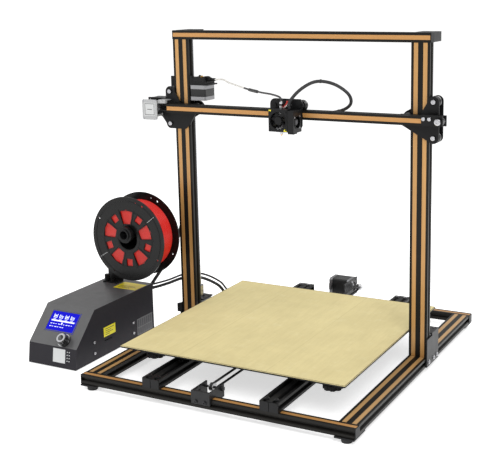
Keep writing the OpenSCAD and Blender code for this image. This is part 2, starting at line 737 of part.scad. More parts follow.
module z_plates() {
  color([0.08, 0.08, 0.09]) at_origin() translate([0, 0, gantry_z]) {
    along_y(375.5, 378.5) difference() {
      union() {
        plate_shape(-1);
        polygon([[-375, 21.5], [-375, -21.5], [-338, -21.5], [-320, -46], [-306, -30],
          [-306, 30], [-330, 21.5]]);
        polygon([[-326, -20], [-326, -40], [-315, -48], [-276, -48], [-262, -36], [-248, -12],
          [-300, -5]]);
      }
      axle_holes(-1);
      web_cut(-1);
      translate([-264.4, 17.4]) square([30, 20]);
      translate([motor_x, 0]) circle(r = 11.2);
      for (dx = [-15.5, 15.5]) for (dz = [-15.5, 15.5]) translate([motor_x + dx, dz])
        circle(r = 1.6);
    }
    along_y(375.5, 378.5) difference() {
      union() {
        plate_shape(1);
        translate([318, -11]) square([24, 22]);
      }
      axle_holes(1);
      web_cut(1);
      translate([idler_x, 0]) circle(r = 2.5);
    }
    for (s = [-1, 1]) along_y(401.5, 404.5) difference() {
      plate_shape(s);
      axle_holes(s);
      if (s < 0) translate([-264.4, 17.4]) square([30, 20]);
    }
    along_y(352.5, 355.5) difference() {
      translate([297, -9]) square([45, 22]);
      translate([idler_x, 0]) circle(r = 2.5);
    }
    rod_y(idler_x, 0, 350, 381, 2.5);
    rod_y(idler_x, 0, 347, 352.5, 7.7);
    rod_y(idler_x, 0, 378.5, 382, 4.4);
    for (x = [302, 314.5]) translate([x, 352.5, 5]) rotate([90, 0, 0]) cap_screw(3.6, 2.4);
    for (x = [[318, 14], [323, 16]]) translate([x[0], 375.5, x[1]]) rotate([90, 0, 0])
      cap_screw(2.4, 2);
    for (s = [-1, 1]) {
      for (z = [-wheel_pitch / 2, wheel_pitch / 2]) {
        rod_y(s * wheel_out, z, 374, 408, 2.5);
        translate([s * wheel_out, 375.5, z]) rotate([90, 0, 0]) cap_screw(4.6, 3.2);
        rod_y(s * wheel_out, z, 404.5, 408.5, 4.4);
      }
      rod_y(s * wheel_in, 0, 375.5, 408, 2.5);
      rod_y(s * wheel_in, 0, 404.5, 408.5, 4.4);
      for (p = [[wheel_out, wheel_pitch / 2], [wheel_out, -wheel_pitch / 2], [wheel_in, 0]])
        for (y = [[378.5, 384.6], [395.4, 401.5]]) difference() {
          rod_y(s * p[0], p[1], y[0], y[1], 4);
          rod_y(s * p[0], p[1], y[0] - 1, y[1] + 1, 2.5);
        }
      difference() {
        union() {
          box_at(s * screw_offset - 15, s * screw_offset + 15, 404.5, 440, -10, -7);
          rod_z(s * screw_offset, screw_y, -7, -3.5, 11);
          rod_z(s * screw_offset, screw_y, -14, -3.5, 5.6);
        }
        rod_z(s * screw_offset, screw_y, -16, 0, screw_diameter / 2 + 0.35);
      }
    }
  }
}

module x_motor() {
  color([0.12, 0.12, 0.13]) at_origin() translate([motor_x, 378.5, gantry_z])
    rotate([90, 0, 0]) motor_body(34);
}

module x_label_plate() {
  color([0.75, 0.75, 0.73]) at_origin() translate([0, 0, gantry_z]) {
    along_y(348.3, 350.3) difference() {
      union() {
        translate([-373.6, -23]) square([40, 38]);
        translate([-369.6, -27]) square([32, 46]);
        for (x = [-369.6, -337.6]) for (z = [-23, 15]) translate([x, z]) circle(r = 4);
      }
    }
    for (x = [-368.5, -338.5]) for (z = [-18, 14]) rod_y(x, z, 350.3, 375.5, 2.6);
    difference() {
      box_at(-332, -313, 352, 375.5, 11.2, 19);
      box_at(-340, -312.9, 360, 376.5, 11, 17);
    }
    for (p = [[-329, 14], [-322, 16.5], [-316, 14]]) rod_y(p[0], p[1], 350.8, 352, 1.7);
  }
}

module x_belt() {
  color([0.05, 0.05, 0.05]) at_origin() translate([motor_x, bar_y, gantry_z])
    rotate([90, 0, 0]) belt_loop(idler_x - motor_x);
}

module x_drive_pulley() {
  color([0.7, 0.7, 0.7]) at_origin() translate([motor_x, bar_y, gantry_z])
    rotate([90, 0, 0]) {
      toothed_pulley(0, 5);
      translate([0, 0, -12.6]) cylinder(h = 22, r = 2.5);
    }
}

module x_idler_pulley() {
  color([0.7, 0.7, 0.7]) at_origin() translate([idler_x, bar_y, gantry_z])
    rotate([90, 0, 0]) toothed_pulley(2.55, 0);
}

module extruder_bracket() {
  color([0.08, 0.08, 0.09]) at_origin() translate([0, 0, gantry_z]) difference() {
    union() {
      box_at(-263.7, -215, 378, 420, 52, 55);
      box_at(-267, -263.7, 404.5, 420, 24, 55);
      box_at(-330, -264, 404.5, 407.5, 50, 69);
      box_at(-330, -306, 404.5, 407.5, 40, 69);
    }
    rod_z(ext_x, ext_y, 50, 56, 11.2);
    for (dx = [-15.5, 15.5]) for (dy = [-15.5, 15.5])
      rod_z(ext_x + dx, ext_y + dy, 50, 56, 1.6);
    rod_y(-wheel_out, wheel_pitch / 2, 400, 410, 5);
    rod_z(-219, 384, 50, 56, 1.6);
  }
}

module extruder_motor() {
  color([0.12, 0.12, 0.13]) at_origin() translate([ext_x, ext_y, gantry_z + 52])
    rotate(180) motor_body(34);
}

module extruder_body() {
  color([0.1, 0.1, 0.1]) at_origin() translate([0, 0, gantry_z + 55]) {
    difference() {
      union() {
        box_at(-263, -222, 379, 419, 0, 4);
        box_at(-229, -222, 387, 398, 4, 17);
        box_at(-263, -256, 388, 416, 4, 14);
        box_at(-263, -230, 408, 416, 4, 14);
        rod_x(392.5, 10, -222, -214, 4.6);
        rod_x(392.5, 10, -214, -204, 3.4);
      }
      rod_z(ext_x, ext_y, -1, 20, 8.2);
      rod_x(392.5, 10, -270, -203, 1.2);
      rod_x(392.5, 10, -212, -203, 2.3);
      for (dx = [-15.5, 15.5]) rod_z(ext_x + dx, ext_y + 15.5, -1, 20, 1.6);
    }
    rod_z(-227, 382.2, 4, 16, 2.4);
    for (dx = [-15.5, 15.5]) translate([ext_x + dx, ext_y + 15.5, dx < 0 ? 14 : 4])
      cap_screw(2.8, 3);
  }
}

module extruder_lever() {
  color([0.15, 0.15, 0.15]) at_origin() translate([0, 0, gantry_z + 55]) {
    difference() {
      union() {
        rod_z(-227, 382.2, 4.4, 14, 5.2 - 2.4 + 1.2);
        box_at(-262, -227, 379.6, 383.4, 4.4, 14);
        box_at(-263.4, -256.6, 379.2, 386.6, 4.4, 18);
        rod_z(ext_x, 385.2, 4.4, 7, 4.4);
      }
      rod_z(-227, 382.2, 3, 20, 2.45);
    }
    difference() {
      rod_z(ext_x, 385.2, 7, 12, 6);
      rod_z(ext_x, 385.2, 6, 13, 4.4);
    }
    rod_z(ext_x, 385.2, 7, 13.6, 4.4);
  }
}

module drive_gear() {
  color([0.8, 0.62, 0.25]) at_origin() translate([ext_x, ext_y, gantry_z + 55]) {
    difference() {
      translate([0, 0, 2]) cylinder(h = 13, r = 5.4);
      for (a = [0:30:330]) rotate(a) translate([5.7, 0, 7]) cylinder(h = 6, r = 0.8, $fn = 16);
    }
    translate([0, 0, -2.6]) cylinder(h = 20, r = 2.5);
  }
}

module z_wheel_at(x, z) {
  color([0.04, 0.04, 0.04]) at_origin() translate([x, up_y, gantry_z + z])
    rotate([90, 0, 0]) v_wheel();
}

module z_wheel_lt() {
  z_wheel_at(-wheel_out, wheel_pitch / 2);
}

module z_wheel_lb() {
  z_wheel_at(-wheel_out, -wheel_pitch / 2);
}

module z_wheel_li() {
  z_wheel_at(-wheel_in, 0);
}

module z_wheel_rt() {
  z_wheel_at(wheel_out, wheel_pitch / 2);
}

module z_wheel_rb() {
  z_wheel_at(wheel_out, -wheel_pitch / 2);
}

module z_wheel_ri() {
  z_wheel_at(wheel_in, 0);
}

// ---------- print head ----------
module carriage_plate() {
  color([0.08, 0.08, 0.09]) at_origin() translate([0, 0, gantry_z]) {
    difference() {
      along_y(car_y, car_y + 3) difference() {
        union() {
            translate([-43, -21]) square([76, 44]);
          translate([-32, -32]) square([62, 66]);
          for (x = [[-31, 12], [24, 11]]) translate([x[0], 22]) circle(r = x[1]);
          translate([-32, -20]) circle(r = 11);
          translate([22, -20]) circle(r = 11);
        }
        translate([car_left, 19.85]) circle(r = 2.5);
        translate([car_right, 19.85]) circle(r = 2.5);
        translate([car_mid, -19.85]) circle(r = 2.5);
      }
    }
    for (p = [[car_left, 19.85], [car_right, 19.85], [car_mid, -19.85]]) {
      rod_y(p[0], p[1], 349, 374, 2.5);
      difference() {
        rod_y(p[0], p[1], 354, 360.1, 4);
        rod_y(p[0], p[1], 353, 361, 2.5);
      }
      rod_y(p[0], p[1], 370.9, 374.6, 4.2);
    }
    for (x = [car_left, car_right]) translate([x, car_y, 19.85]) rotate([90, 0, 0])
      cap_screw(4.6, 3);
    box_at(-27, -16, 354, 362, -13.4, -11);
    box_at(13, 24, 354, 362, -13.4, -11);
  }
}

module hot_end() {
  color([0.75, 0.75, 0.75]) at_origin() translate([hot_x, hot_y, gantry_z]) {
    translate([0, 0, -36 - nozzle_length]) {
      cylinder(h = nozzle_length - 5, r1 = 1, r2 = 2.6);
      translate([0, 0, nozzle_length - 5]) cylinder(h = 5, r = 4, $fn = 6);
    }
    difference() {
      translate([-10, -8, -36]) cube([20, 16, 12]);
      translate([-11, 3.5, -30]) rotate([0, 90, 0]) cylinder(h = 22, r = 2.6);
    }
    translate([0, 0, -24]) cylinder(h = 4, r = 2);
    for (i = [0:7]) translate([0, 0, -20 + i * 3.5]) cylinder(h = 1.6, r = 10);
    translate([0, 0, -20]) cylinder(h = 34, r = 5.5);
    translate([-8, 5, 8]) cube([16, car_y - hot_y - 5, 6]);
    translate([0, 0, 14]) cylinder(h = 7, r = 4.6, $fn = 6);
    difference() {
      translate([0, 0, 21]) cylinder(h = 7, r = 4);
      translate([0, 0, 23]) cylinder(h = 6, r = 2.3);
    }
  }
}

module fan_shroud() {
  sx = -6.75 - shroud_width / 2;
  color([0.07, 0.07, 0.07]) at_origin() translate([0, 0, gantry_z]) {
    difference() {
      union() {
        box_at(sx, sx + shroud_width, 316, 318.5, -32.5, 15);
        box_at(sx, sx + 1.2, 316, car_y, -32.5, 15);
        box_at(sx + shroud_width - 1.2, sx + shroud_width, 316, car_y, -32.5, 15);
        box_at(sx, sx + shroud_width, 316, 342, 13.5, 15);
      }
      rod_y(-6.75, -9, 310, 322, fan_diameter / 2 + 1);
      rod_z(hot_x, hot_y, 10, 20, 7);
      rod_z(10, 338, 10, 20, 3.9);
      for (z = [-20, -12, -4]) box_at(sx - 1, sx + 2, 334, 346, z, z + 3);
    }
    difference() {
      union() {
        rod_y(-6.75, -9, 326.4, 328, 9);
        box_at(sx + 1, sx + shroud_width - 1, 326.4, 328, -10, -8);
      }
    }
  }
}

module front_fan_rotor() {
  color([0.1, 0.1, 0.1]) at_origin() translate([-6.75, 317.4, gantry_z - 9])
    rotate([-90, 0, 0]) {
      cylinder(h = 8.4, r = 8.5);
      for (a = [0:360 / 7:359]) rotate(a) translate([7, -1, 4.2]) rotate([32, 0, 0])
        translate([0, -4.4, -0.5]) cube([fan_diameter / 2 - 7.6, 8.8, 1]);
    }
}

module blower_housing() {
  color([0.07, 0.07, 0.07]) at_origin() translate([0, 0, gantry_z]) difference() {
    union() {
      box_at(17.5, 31.5, 313.2, car_y, -32.5, 13);
      box_at(17.5, 31.5, 330, car_y, -36, -6);
      box_at(17.5, 31.5, 314.2, 330, -36, -12);
    }
    rod_x(332, -12, 19, 30, 17.4);
    rod_x(332, -12, 29, 33, 12.6);
    box_at(19, 30, 315.6, 330, -40, -12);
    box_at(10, 40, 330, 360, -45, -34);
  }
}

module blower_rotor() {
  color([0.1, 0.1, 0.1]) at_origin() translate([19.4, 332, gantry_z - 12])
    rotate([0, 90, 0]) {
      cylinder(h = 1.2, r = 15);
      cylinder(h = 9.6, r = 7);
      for (a = [0:24:336]) rotate(a) translate([12, -0.5, 1]) rotate([0, 0, 25])
        cube([3.6, 0.9, 8.6]);
    }
}

module x_wheel_at(x, z) {
  color([0.04, 0.04, 0.04]) at_origin() translate([x, bar_y, gantry_z + z])
    rotate([90, 0, 0]) v_wheel();
}

module x_wheel_l() {
  x_wheel_at(car_left, 10 + wheel_standoff);
}

module x_wheel_r() {
  x_wheel_at(car_right, 10 + wheel_standoff);
}

module x_wheel_b() {
  x_wheel_at(car_mid, -10 - wheel_standoff);
}

// ---------- flexible parts ----------
module bowden_tube() {
  color([0.1, 0.1, 0.1]) at_origin() translate([0, 0, gantry_z - 506])
    cord(bowden_points, 2, 8, 4);
}

module hot_end_loom() {
  color([0.06, 0.06, 0.06]) at_origin() translate([0, 0, gantry_z - 506])
    cord(hot_loom_points, 3.6, 8, 2);
}

module gantry_loom() {
  color([0.06, 0.06, 0.06]) at_origin() cord(gantry_loom_points, 4.2, 8, 2);
}

module bed_cable() {
  color([0.06, 0.06, 0.06]) at_origin() cord(bed_cable_points, 3.6, 8, 2);
}

base_beams();
y_rails();
upright_frame();
end_caps();
corner_plates();
rubber_feet();
z_brackets();
frame_motors();
y_brackets();
frame_screws();
box_base();
box_cover();
display_module();
power_inlet();
power_rocker();
encoder_knob();
spool_bracket();
spool();
filament_coil();
left_lead_screw();
right_lead_screw();
y_drive_pulley();
y_idler_pulley();
y_belt();
bed_carriage();
heated_bed();
print_surface();
levelling_knobs();
bed_wheels();
x_bar();
z_plates();
x_motor();
x_label_plate();
x_belt();
x_drive_pulley();
x_idler_pulley();
extruder_bracket();
extruder_motor();
extruder_body();
extruder_lever();
drive_gear();
z_wheel_lt();
z_wheel_lb();
z_wheel_li();
z_wheel_rt();
z_wheel_rb();
z_wheel_ri();
carriage_plate();
hot_end();
fan_shroud();
front_fan_rotor();
blower_housing();
blower_rotor();
x_wheel_l();
x_wheel_r();
x_wheel_b();
bowden_tube();
hot_end_loom();
gantry_loom();
bed_cable();
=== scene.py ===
"""Bench-top filament printer: finishes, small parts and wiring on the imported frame.

Lengths are given in the maker's millimetres and turned to metres of the shared frame by row().
"""
import logging
import math
from collections.abc import Callable
from dataclasses import dataclass, field
from enum import Enum
from functools import cache

import bmesh
import bpy
from mathutils import Matrix, Vector


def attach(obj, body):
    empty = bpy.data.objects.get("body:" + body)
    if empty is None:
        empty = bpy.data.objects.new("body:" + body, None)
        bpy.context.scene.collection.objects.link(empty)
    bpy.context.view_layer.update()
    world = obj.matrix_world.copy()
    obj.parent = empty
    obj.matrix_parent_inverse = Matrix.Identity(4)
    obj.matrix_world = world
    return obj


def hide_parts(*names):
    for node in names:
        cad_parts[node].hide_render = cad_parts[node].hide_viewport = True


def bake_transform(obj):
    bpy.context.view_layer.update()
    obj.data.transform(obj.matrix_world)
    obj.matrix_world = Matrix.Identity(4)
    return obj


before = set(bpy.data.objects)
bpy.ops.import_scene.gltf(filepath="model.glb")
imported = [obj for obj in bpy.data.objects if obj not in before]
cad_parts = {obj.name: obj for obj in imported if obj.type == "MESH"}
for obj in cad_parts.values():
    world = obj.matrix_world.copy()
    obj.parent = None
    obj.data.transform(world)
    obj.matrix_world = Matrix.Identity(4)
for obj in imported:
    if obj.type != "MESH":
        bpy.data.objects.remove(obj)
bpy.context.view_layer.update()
LOG = logging.getLogger("printer")
MM = 0.001
ORIGIN = Vector((-82.9, 386.2, -32.0))
SHARP_ANGLE = math.radians(35)
CORD_INSET = 0.06
BAR_Y = 365.5
Point = tuple[float, float, float]
Colour = tuple[float, float, float]


def row(x: float, y: float, z: float) -> Vector:
    """Turns a machine point in millimetres into the shared frame in metres."""
    return (Vector((x, y, z)) - ORIGIN) * MM


class Grain(Enum):
    """How fine the relief of a finish is, in cells per metre."""
    POLISHED = 140.0
    ANODISED = 1500.0
    POWDER = 2600.0
    MOULDED = 1900.0
    WOVEN = 900.0


class Look(Enum):
    """Which extra effect a finish carries."""
    PLAIN = "plain"
    TURNED = "turned"
    BRAID = "braid"
    TAPE = "tape"
    LAMINATED = "laminated"
    WOUND = "wound"
    SCREEN = "screen"
    STRIP = "strip"


class Graph:
    """A node tree with short calls for adding wired nodes."""

    def __init__(self, tree: bpy.types.NodeTree) -> None:
        """Keeps the tree that nodes are added to."""
        self.tree = tree

    def add(self, kind: str, wires: dict | None = None, **props: object) -> bpy.types.Node:
        """Adds a node, sets its properties and fills or wires its inputs.

        Args:
            kind: the node's type.
            wires: input name or index to a value or to an output socket.
            props: properties set before the inputs are filled.

        Returns:
            The new node.
        """
        node = self.tree.nodes.new(kind)
        for key, value in props.items():
            setattr(node, key, value)
        for key, value in (wires or {}).items():
            if isinstance(value, bpy.types.NodeSocket):
                self.tree.links.new(value, node.inputs[key])
            else:
                node.inputs[key].default_value = value
        return node

    def group(self, tree: bpy.types.NodeTree, wires: dict) -> bpy.types.Node:
        """Adds a node group with its own values."""
        return self.add("ShaderNodeGroup", wires, node_tree=tree)

    def math(self, how: str, a: object, b: object = 0.0, c: object = 0.0) -> bpy.types.NodeSocket:
        """Adds a Math node.

        Args:
            how: the operation.
            a: first value or socket.
            b: second value or socket.
            c: third value or socket, where the operation has one.

        Returns:
            Its output.
        """
        wires = {0: a, 1: b, 2: c} if how in ("MULTIPLY_ADD", "SMOOTH_MIN") else {0: a, 1: b}
        return self.add("ShaderNodeMath", wires, operation=how).outputs[0]

    def ramp(self, value: object, low: float, high: float, a: float = 0.0,
             b: float = 1.0) -> bpy.types.NodeSocket:
        """Maps a value smoothly from one range to another.

        Args:
            value: the value or socket.
            low: start of its range.
            high: end of its range.
            a: result at low.
            b: result at high.

        Returns:
            The mapped output.
        """
        wires = {"Value": value, "From Min": low, "From Max": high, "To Min": a, "To Max": b}
        return self.add("ShaderNodeMapRange", wires, interpolation_type="SMOOTHSTEP").outputs[0]

    def mix(self, mask: object, a: object, b: object) -> bpy.types.NodeSocket:
        """Mixes two colours by a mask.

        Args:
            mask: 0 for the first colour, 1 for the second.
            a: first colour or socket.
            b: second colour or socket.

        Returns:
            The mixed colour.
        """
        node = self.add("ShaderNodeMix", {0: mask}, data_type="RGBA")
        for index, value in ((6, a), (7, b)):
            if isinstance(value, bpy.types.NodeSocket):
                self.tree.links.new(value, node.inputs[index])
            else:
                node.inputs[index].default_value = (*value[:3], 1.0)
        return node.outputs[2]


class Effects:
    """The shader effects that several finishes share, each built once as a node group."""

    @classmethod
    def _open(cls, name: str, inputs: dict[str, tuple[str, object]],
              outputs: dict[str, str]) -> tuple[Graph, bpy.types.Node, bpy.types.Node]:
        """Starts a group with named sockets.

        Args:
            name: the group's name.
            inputs: input name to kind and default.
            outputs: output name to kind.

        Returns:
            The graph, its input node and its output node.
        """
        tree = bpy.data.node_groups.new(name, "ShaderNodeTree")
        for label, (kind, default) in inputs.items():
            socket = tree.interface.new_socket(label, in_out="INPUT", socket_type="NodeSocket" + kind)
            if default is not None:
                socket.default_value = default
        for label, kind in outputs.items():
            tree.interface.new_socket(label, in_out="OUTPUT", socket_type="NodeSocket" + kind)
        graph = Graph(tree)
        return graph, graph.add("NodeGroupInput"), graph.add("NodeGroupOutput")

    @classmethod
    @cache
    def tone(cls) -> bpy.types.NodeTree:
        """Slow unevenness of a colour, as light and dark patches.

        Returns:
            The shader group.
        """
        g, i, o = cls._open("tone", {"Colour": ("Color", (1, 1, 1, 1)), "Scale": ("Float", 20.0),
                                     "Amount": ("Float", 0.1)}, {"Colour": "Color", "Patch": "Float"})
        place = g.add("ShaderNodeTexCoord").outputs["Object"]
        noise = g.add("ShaderNodeTexNoise", {"Vector": place, "Scale": i.outputs["Scale"], "Detail": 5.0,
                                             "Roughness": 0.6}).outputs["Fac"]
        lift = g.math("MULTIPLY", g.math("SUBTRACT", noise, 0.5), g.math("MULTIPLY", i.outputs["Amount"], 2.0))
        hue = g.add("ShaderNodeHueSaturation", {"Color": i.outputs["Colour"], "Value": g.math("ADD", lift, 1.0)})
        g.tree.links.new(hue.outputs[0], o.inputs["Colour"])
        g.tree.links.new(noise, o.inputs["Patch"])
        return g.tree

    @classmethod
    @cache
    def grain(cls) -> bpy.types.NodeTree:
        """Fine relief of a coating, with a roughness that follows it.

        Returns:
            The shader group.
        """
        g, i, o = cls._open("grain", {"Scale": ("Float", 2000.0), "Roughness": ("Float", 0.5),
                                      "Spread": ("Float", 0.1), "Stretch": ("Vector", (1, 1, 1))},
                            {"Height": "Float", "Roughness": "Float"})
        place = g.add("ShaderNodeTexCoord").outputs["Object"]
        place = g.add("ShaderNodeVectorMath", {0: place, 1: i.outputs["Stretch"]},
                      operation="MULTIPLY").outputs[0]
        fine = g.add("ShaderNodeTexNoise", {"Vector": place, "Scale": i.outputs["Scale"], "Detail": 2.0})
        broad = g.add("ShaderNodeTexNoise", {"Vector": place, "Scale": 60.0, "Detail": 4.0})
        both = g.math("ADD", g.math("MULTIPLY", fine.outputs["Fac"], 0.5),
                      g.math("MULTIPLY", broad.outputs["Fac"], 0.5))
        rough = g.math("ADD", i.outputs["Roughness"],
                       g.math("MULTIPLY", g.math("SUBTRACT", both, 0.5), g.math("MULTIPLY", i.outputs["Spread"], 3.0)))
        g.tree.links.new(g.math("MINIMUM", g.math("MAXIMUM", rough, 0.06), 1.0), o.inputs["Roughness"])
        g.tree.links.new(fine.outputs["Fac"], o.inputs["Height"])
        return g.tree

    @classmethod
    @cache
    def dust(cls) -> bpy.types.NodeTree:
        """A faint pale film on faces that look up, thicker in patches.

        Returns:
            The shader group.
        """
        g, i, o = cls._open("dust", {"Colour": ("Color", (1, 1, 1, 1)), "Film": ("Color", (0.5, 0.48, 0.45, 1)),
                                     "Amount": ("Float", 0.05)}, {"Colour": "Color"})
        up = g.add("ShaderNodeSeparateXYZ", {0: g.add("ShaderNodeNewGeometry").outputs["Normal"]}).outputs["Z"]
        place = g.add("ShaderNodeTexCoord").outputs["Object"]
        patch = g.add("ShaderNodeTexNoise", {"Vector": place, "Scale": 34.0, "Detail": 6.0}).outputs["Fac"]
        mask = g.math("MULTIPLY", g.ramp(up, 0.5, 0.95), g.math("MULTIPLY", g.ramp(patch, 0.35, 0.7),
                                                                i.outputs["Amount"]))
        g.tree.links.new(g.mix(mask, i.outputs["Colour"], i.outputs["Film"]), o.inputs["Colour"])
        return g.tree

    @classmethod
    @cache
    def scuffs(cls) -> bpy.types.NodeTree:
        """Sparse hairline marks where a coating was handled.

        Returns:
            The shader group.
        """
        g, i, o = cls._open("scuffs", {"Colour": ("Color", (1, 1, 1, 1)), "Bare": ("Color", (0.4, 0.4, 0.4, 1)),
                                       "Amount": ("Float", 0.1)}, {"Colour": "Color", "Mark": "Float"})
        place = g.add("ShaderNodeTexCoord").outputs["Object"]
        bent = g.add("ShaderNodeMapping", {"Vector": place, "Rotation": (0.5, 0.8, 0.3), "Scale": (18.0, 420.0, 60.0)})
        lines = g.add("ShaderNodeTexNoise", {"Vector": bent.outputs[0], "Scale": 1.0, "Detail": 1.0}).outputs["Fac"]
        where = g.add("ShaderNodeTexNoise", {"Vector": place, "Scale": 14.0, "Detail": 3.0}).outputs["Fac"]
        mark = g.math("MULTIPLY", g.ramp(lines, 0.66, 0.74), g.math("MULTIPLY", g.ramp(where, 0.5, 0.65),
                                                                    i.outputs["Amount"]))
        g.tree.links.new(g.mix(mark, i.outputs["Colour"], i.outputs["Bare"]), o.inputs["Colour"])
        g.tree.links.new(mark, o.inputs["Mark"])
        return g.tree

    @classmethod
    @cache
    def band(cls) -> bpy.types.NodeTree:
        """A mask that is one between two heights along a direction.

        Returns:
            The shader group.
        """
        g, i, o = cls._open("band", {"Along": ("Vector", (0, 0, 1)), "Low": ("Float", 0.0), "High": ("Float", 1.0)},
                            {"Mask": "Float"})
        place = g.add("ShaderNodeTexCoord").outputs["Object"]
        reach = g.add("ShaderNodeVectorMath", {0: place, 1: i.outputs["Along"]},
                      operation="DOT_PRODUCT").outputs["Value"]
        above = g.math("GREATER_THAN", reach, i.outputs["Low"])
        below = g.math("LESS_THAN", reach, i.outputs["High"])
        g.tree.links.new(g.math("MULTIPLY", above, below), o.inputs["Mask"])
        return g.tree


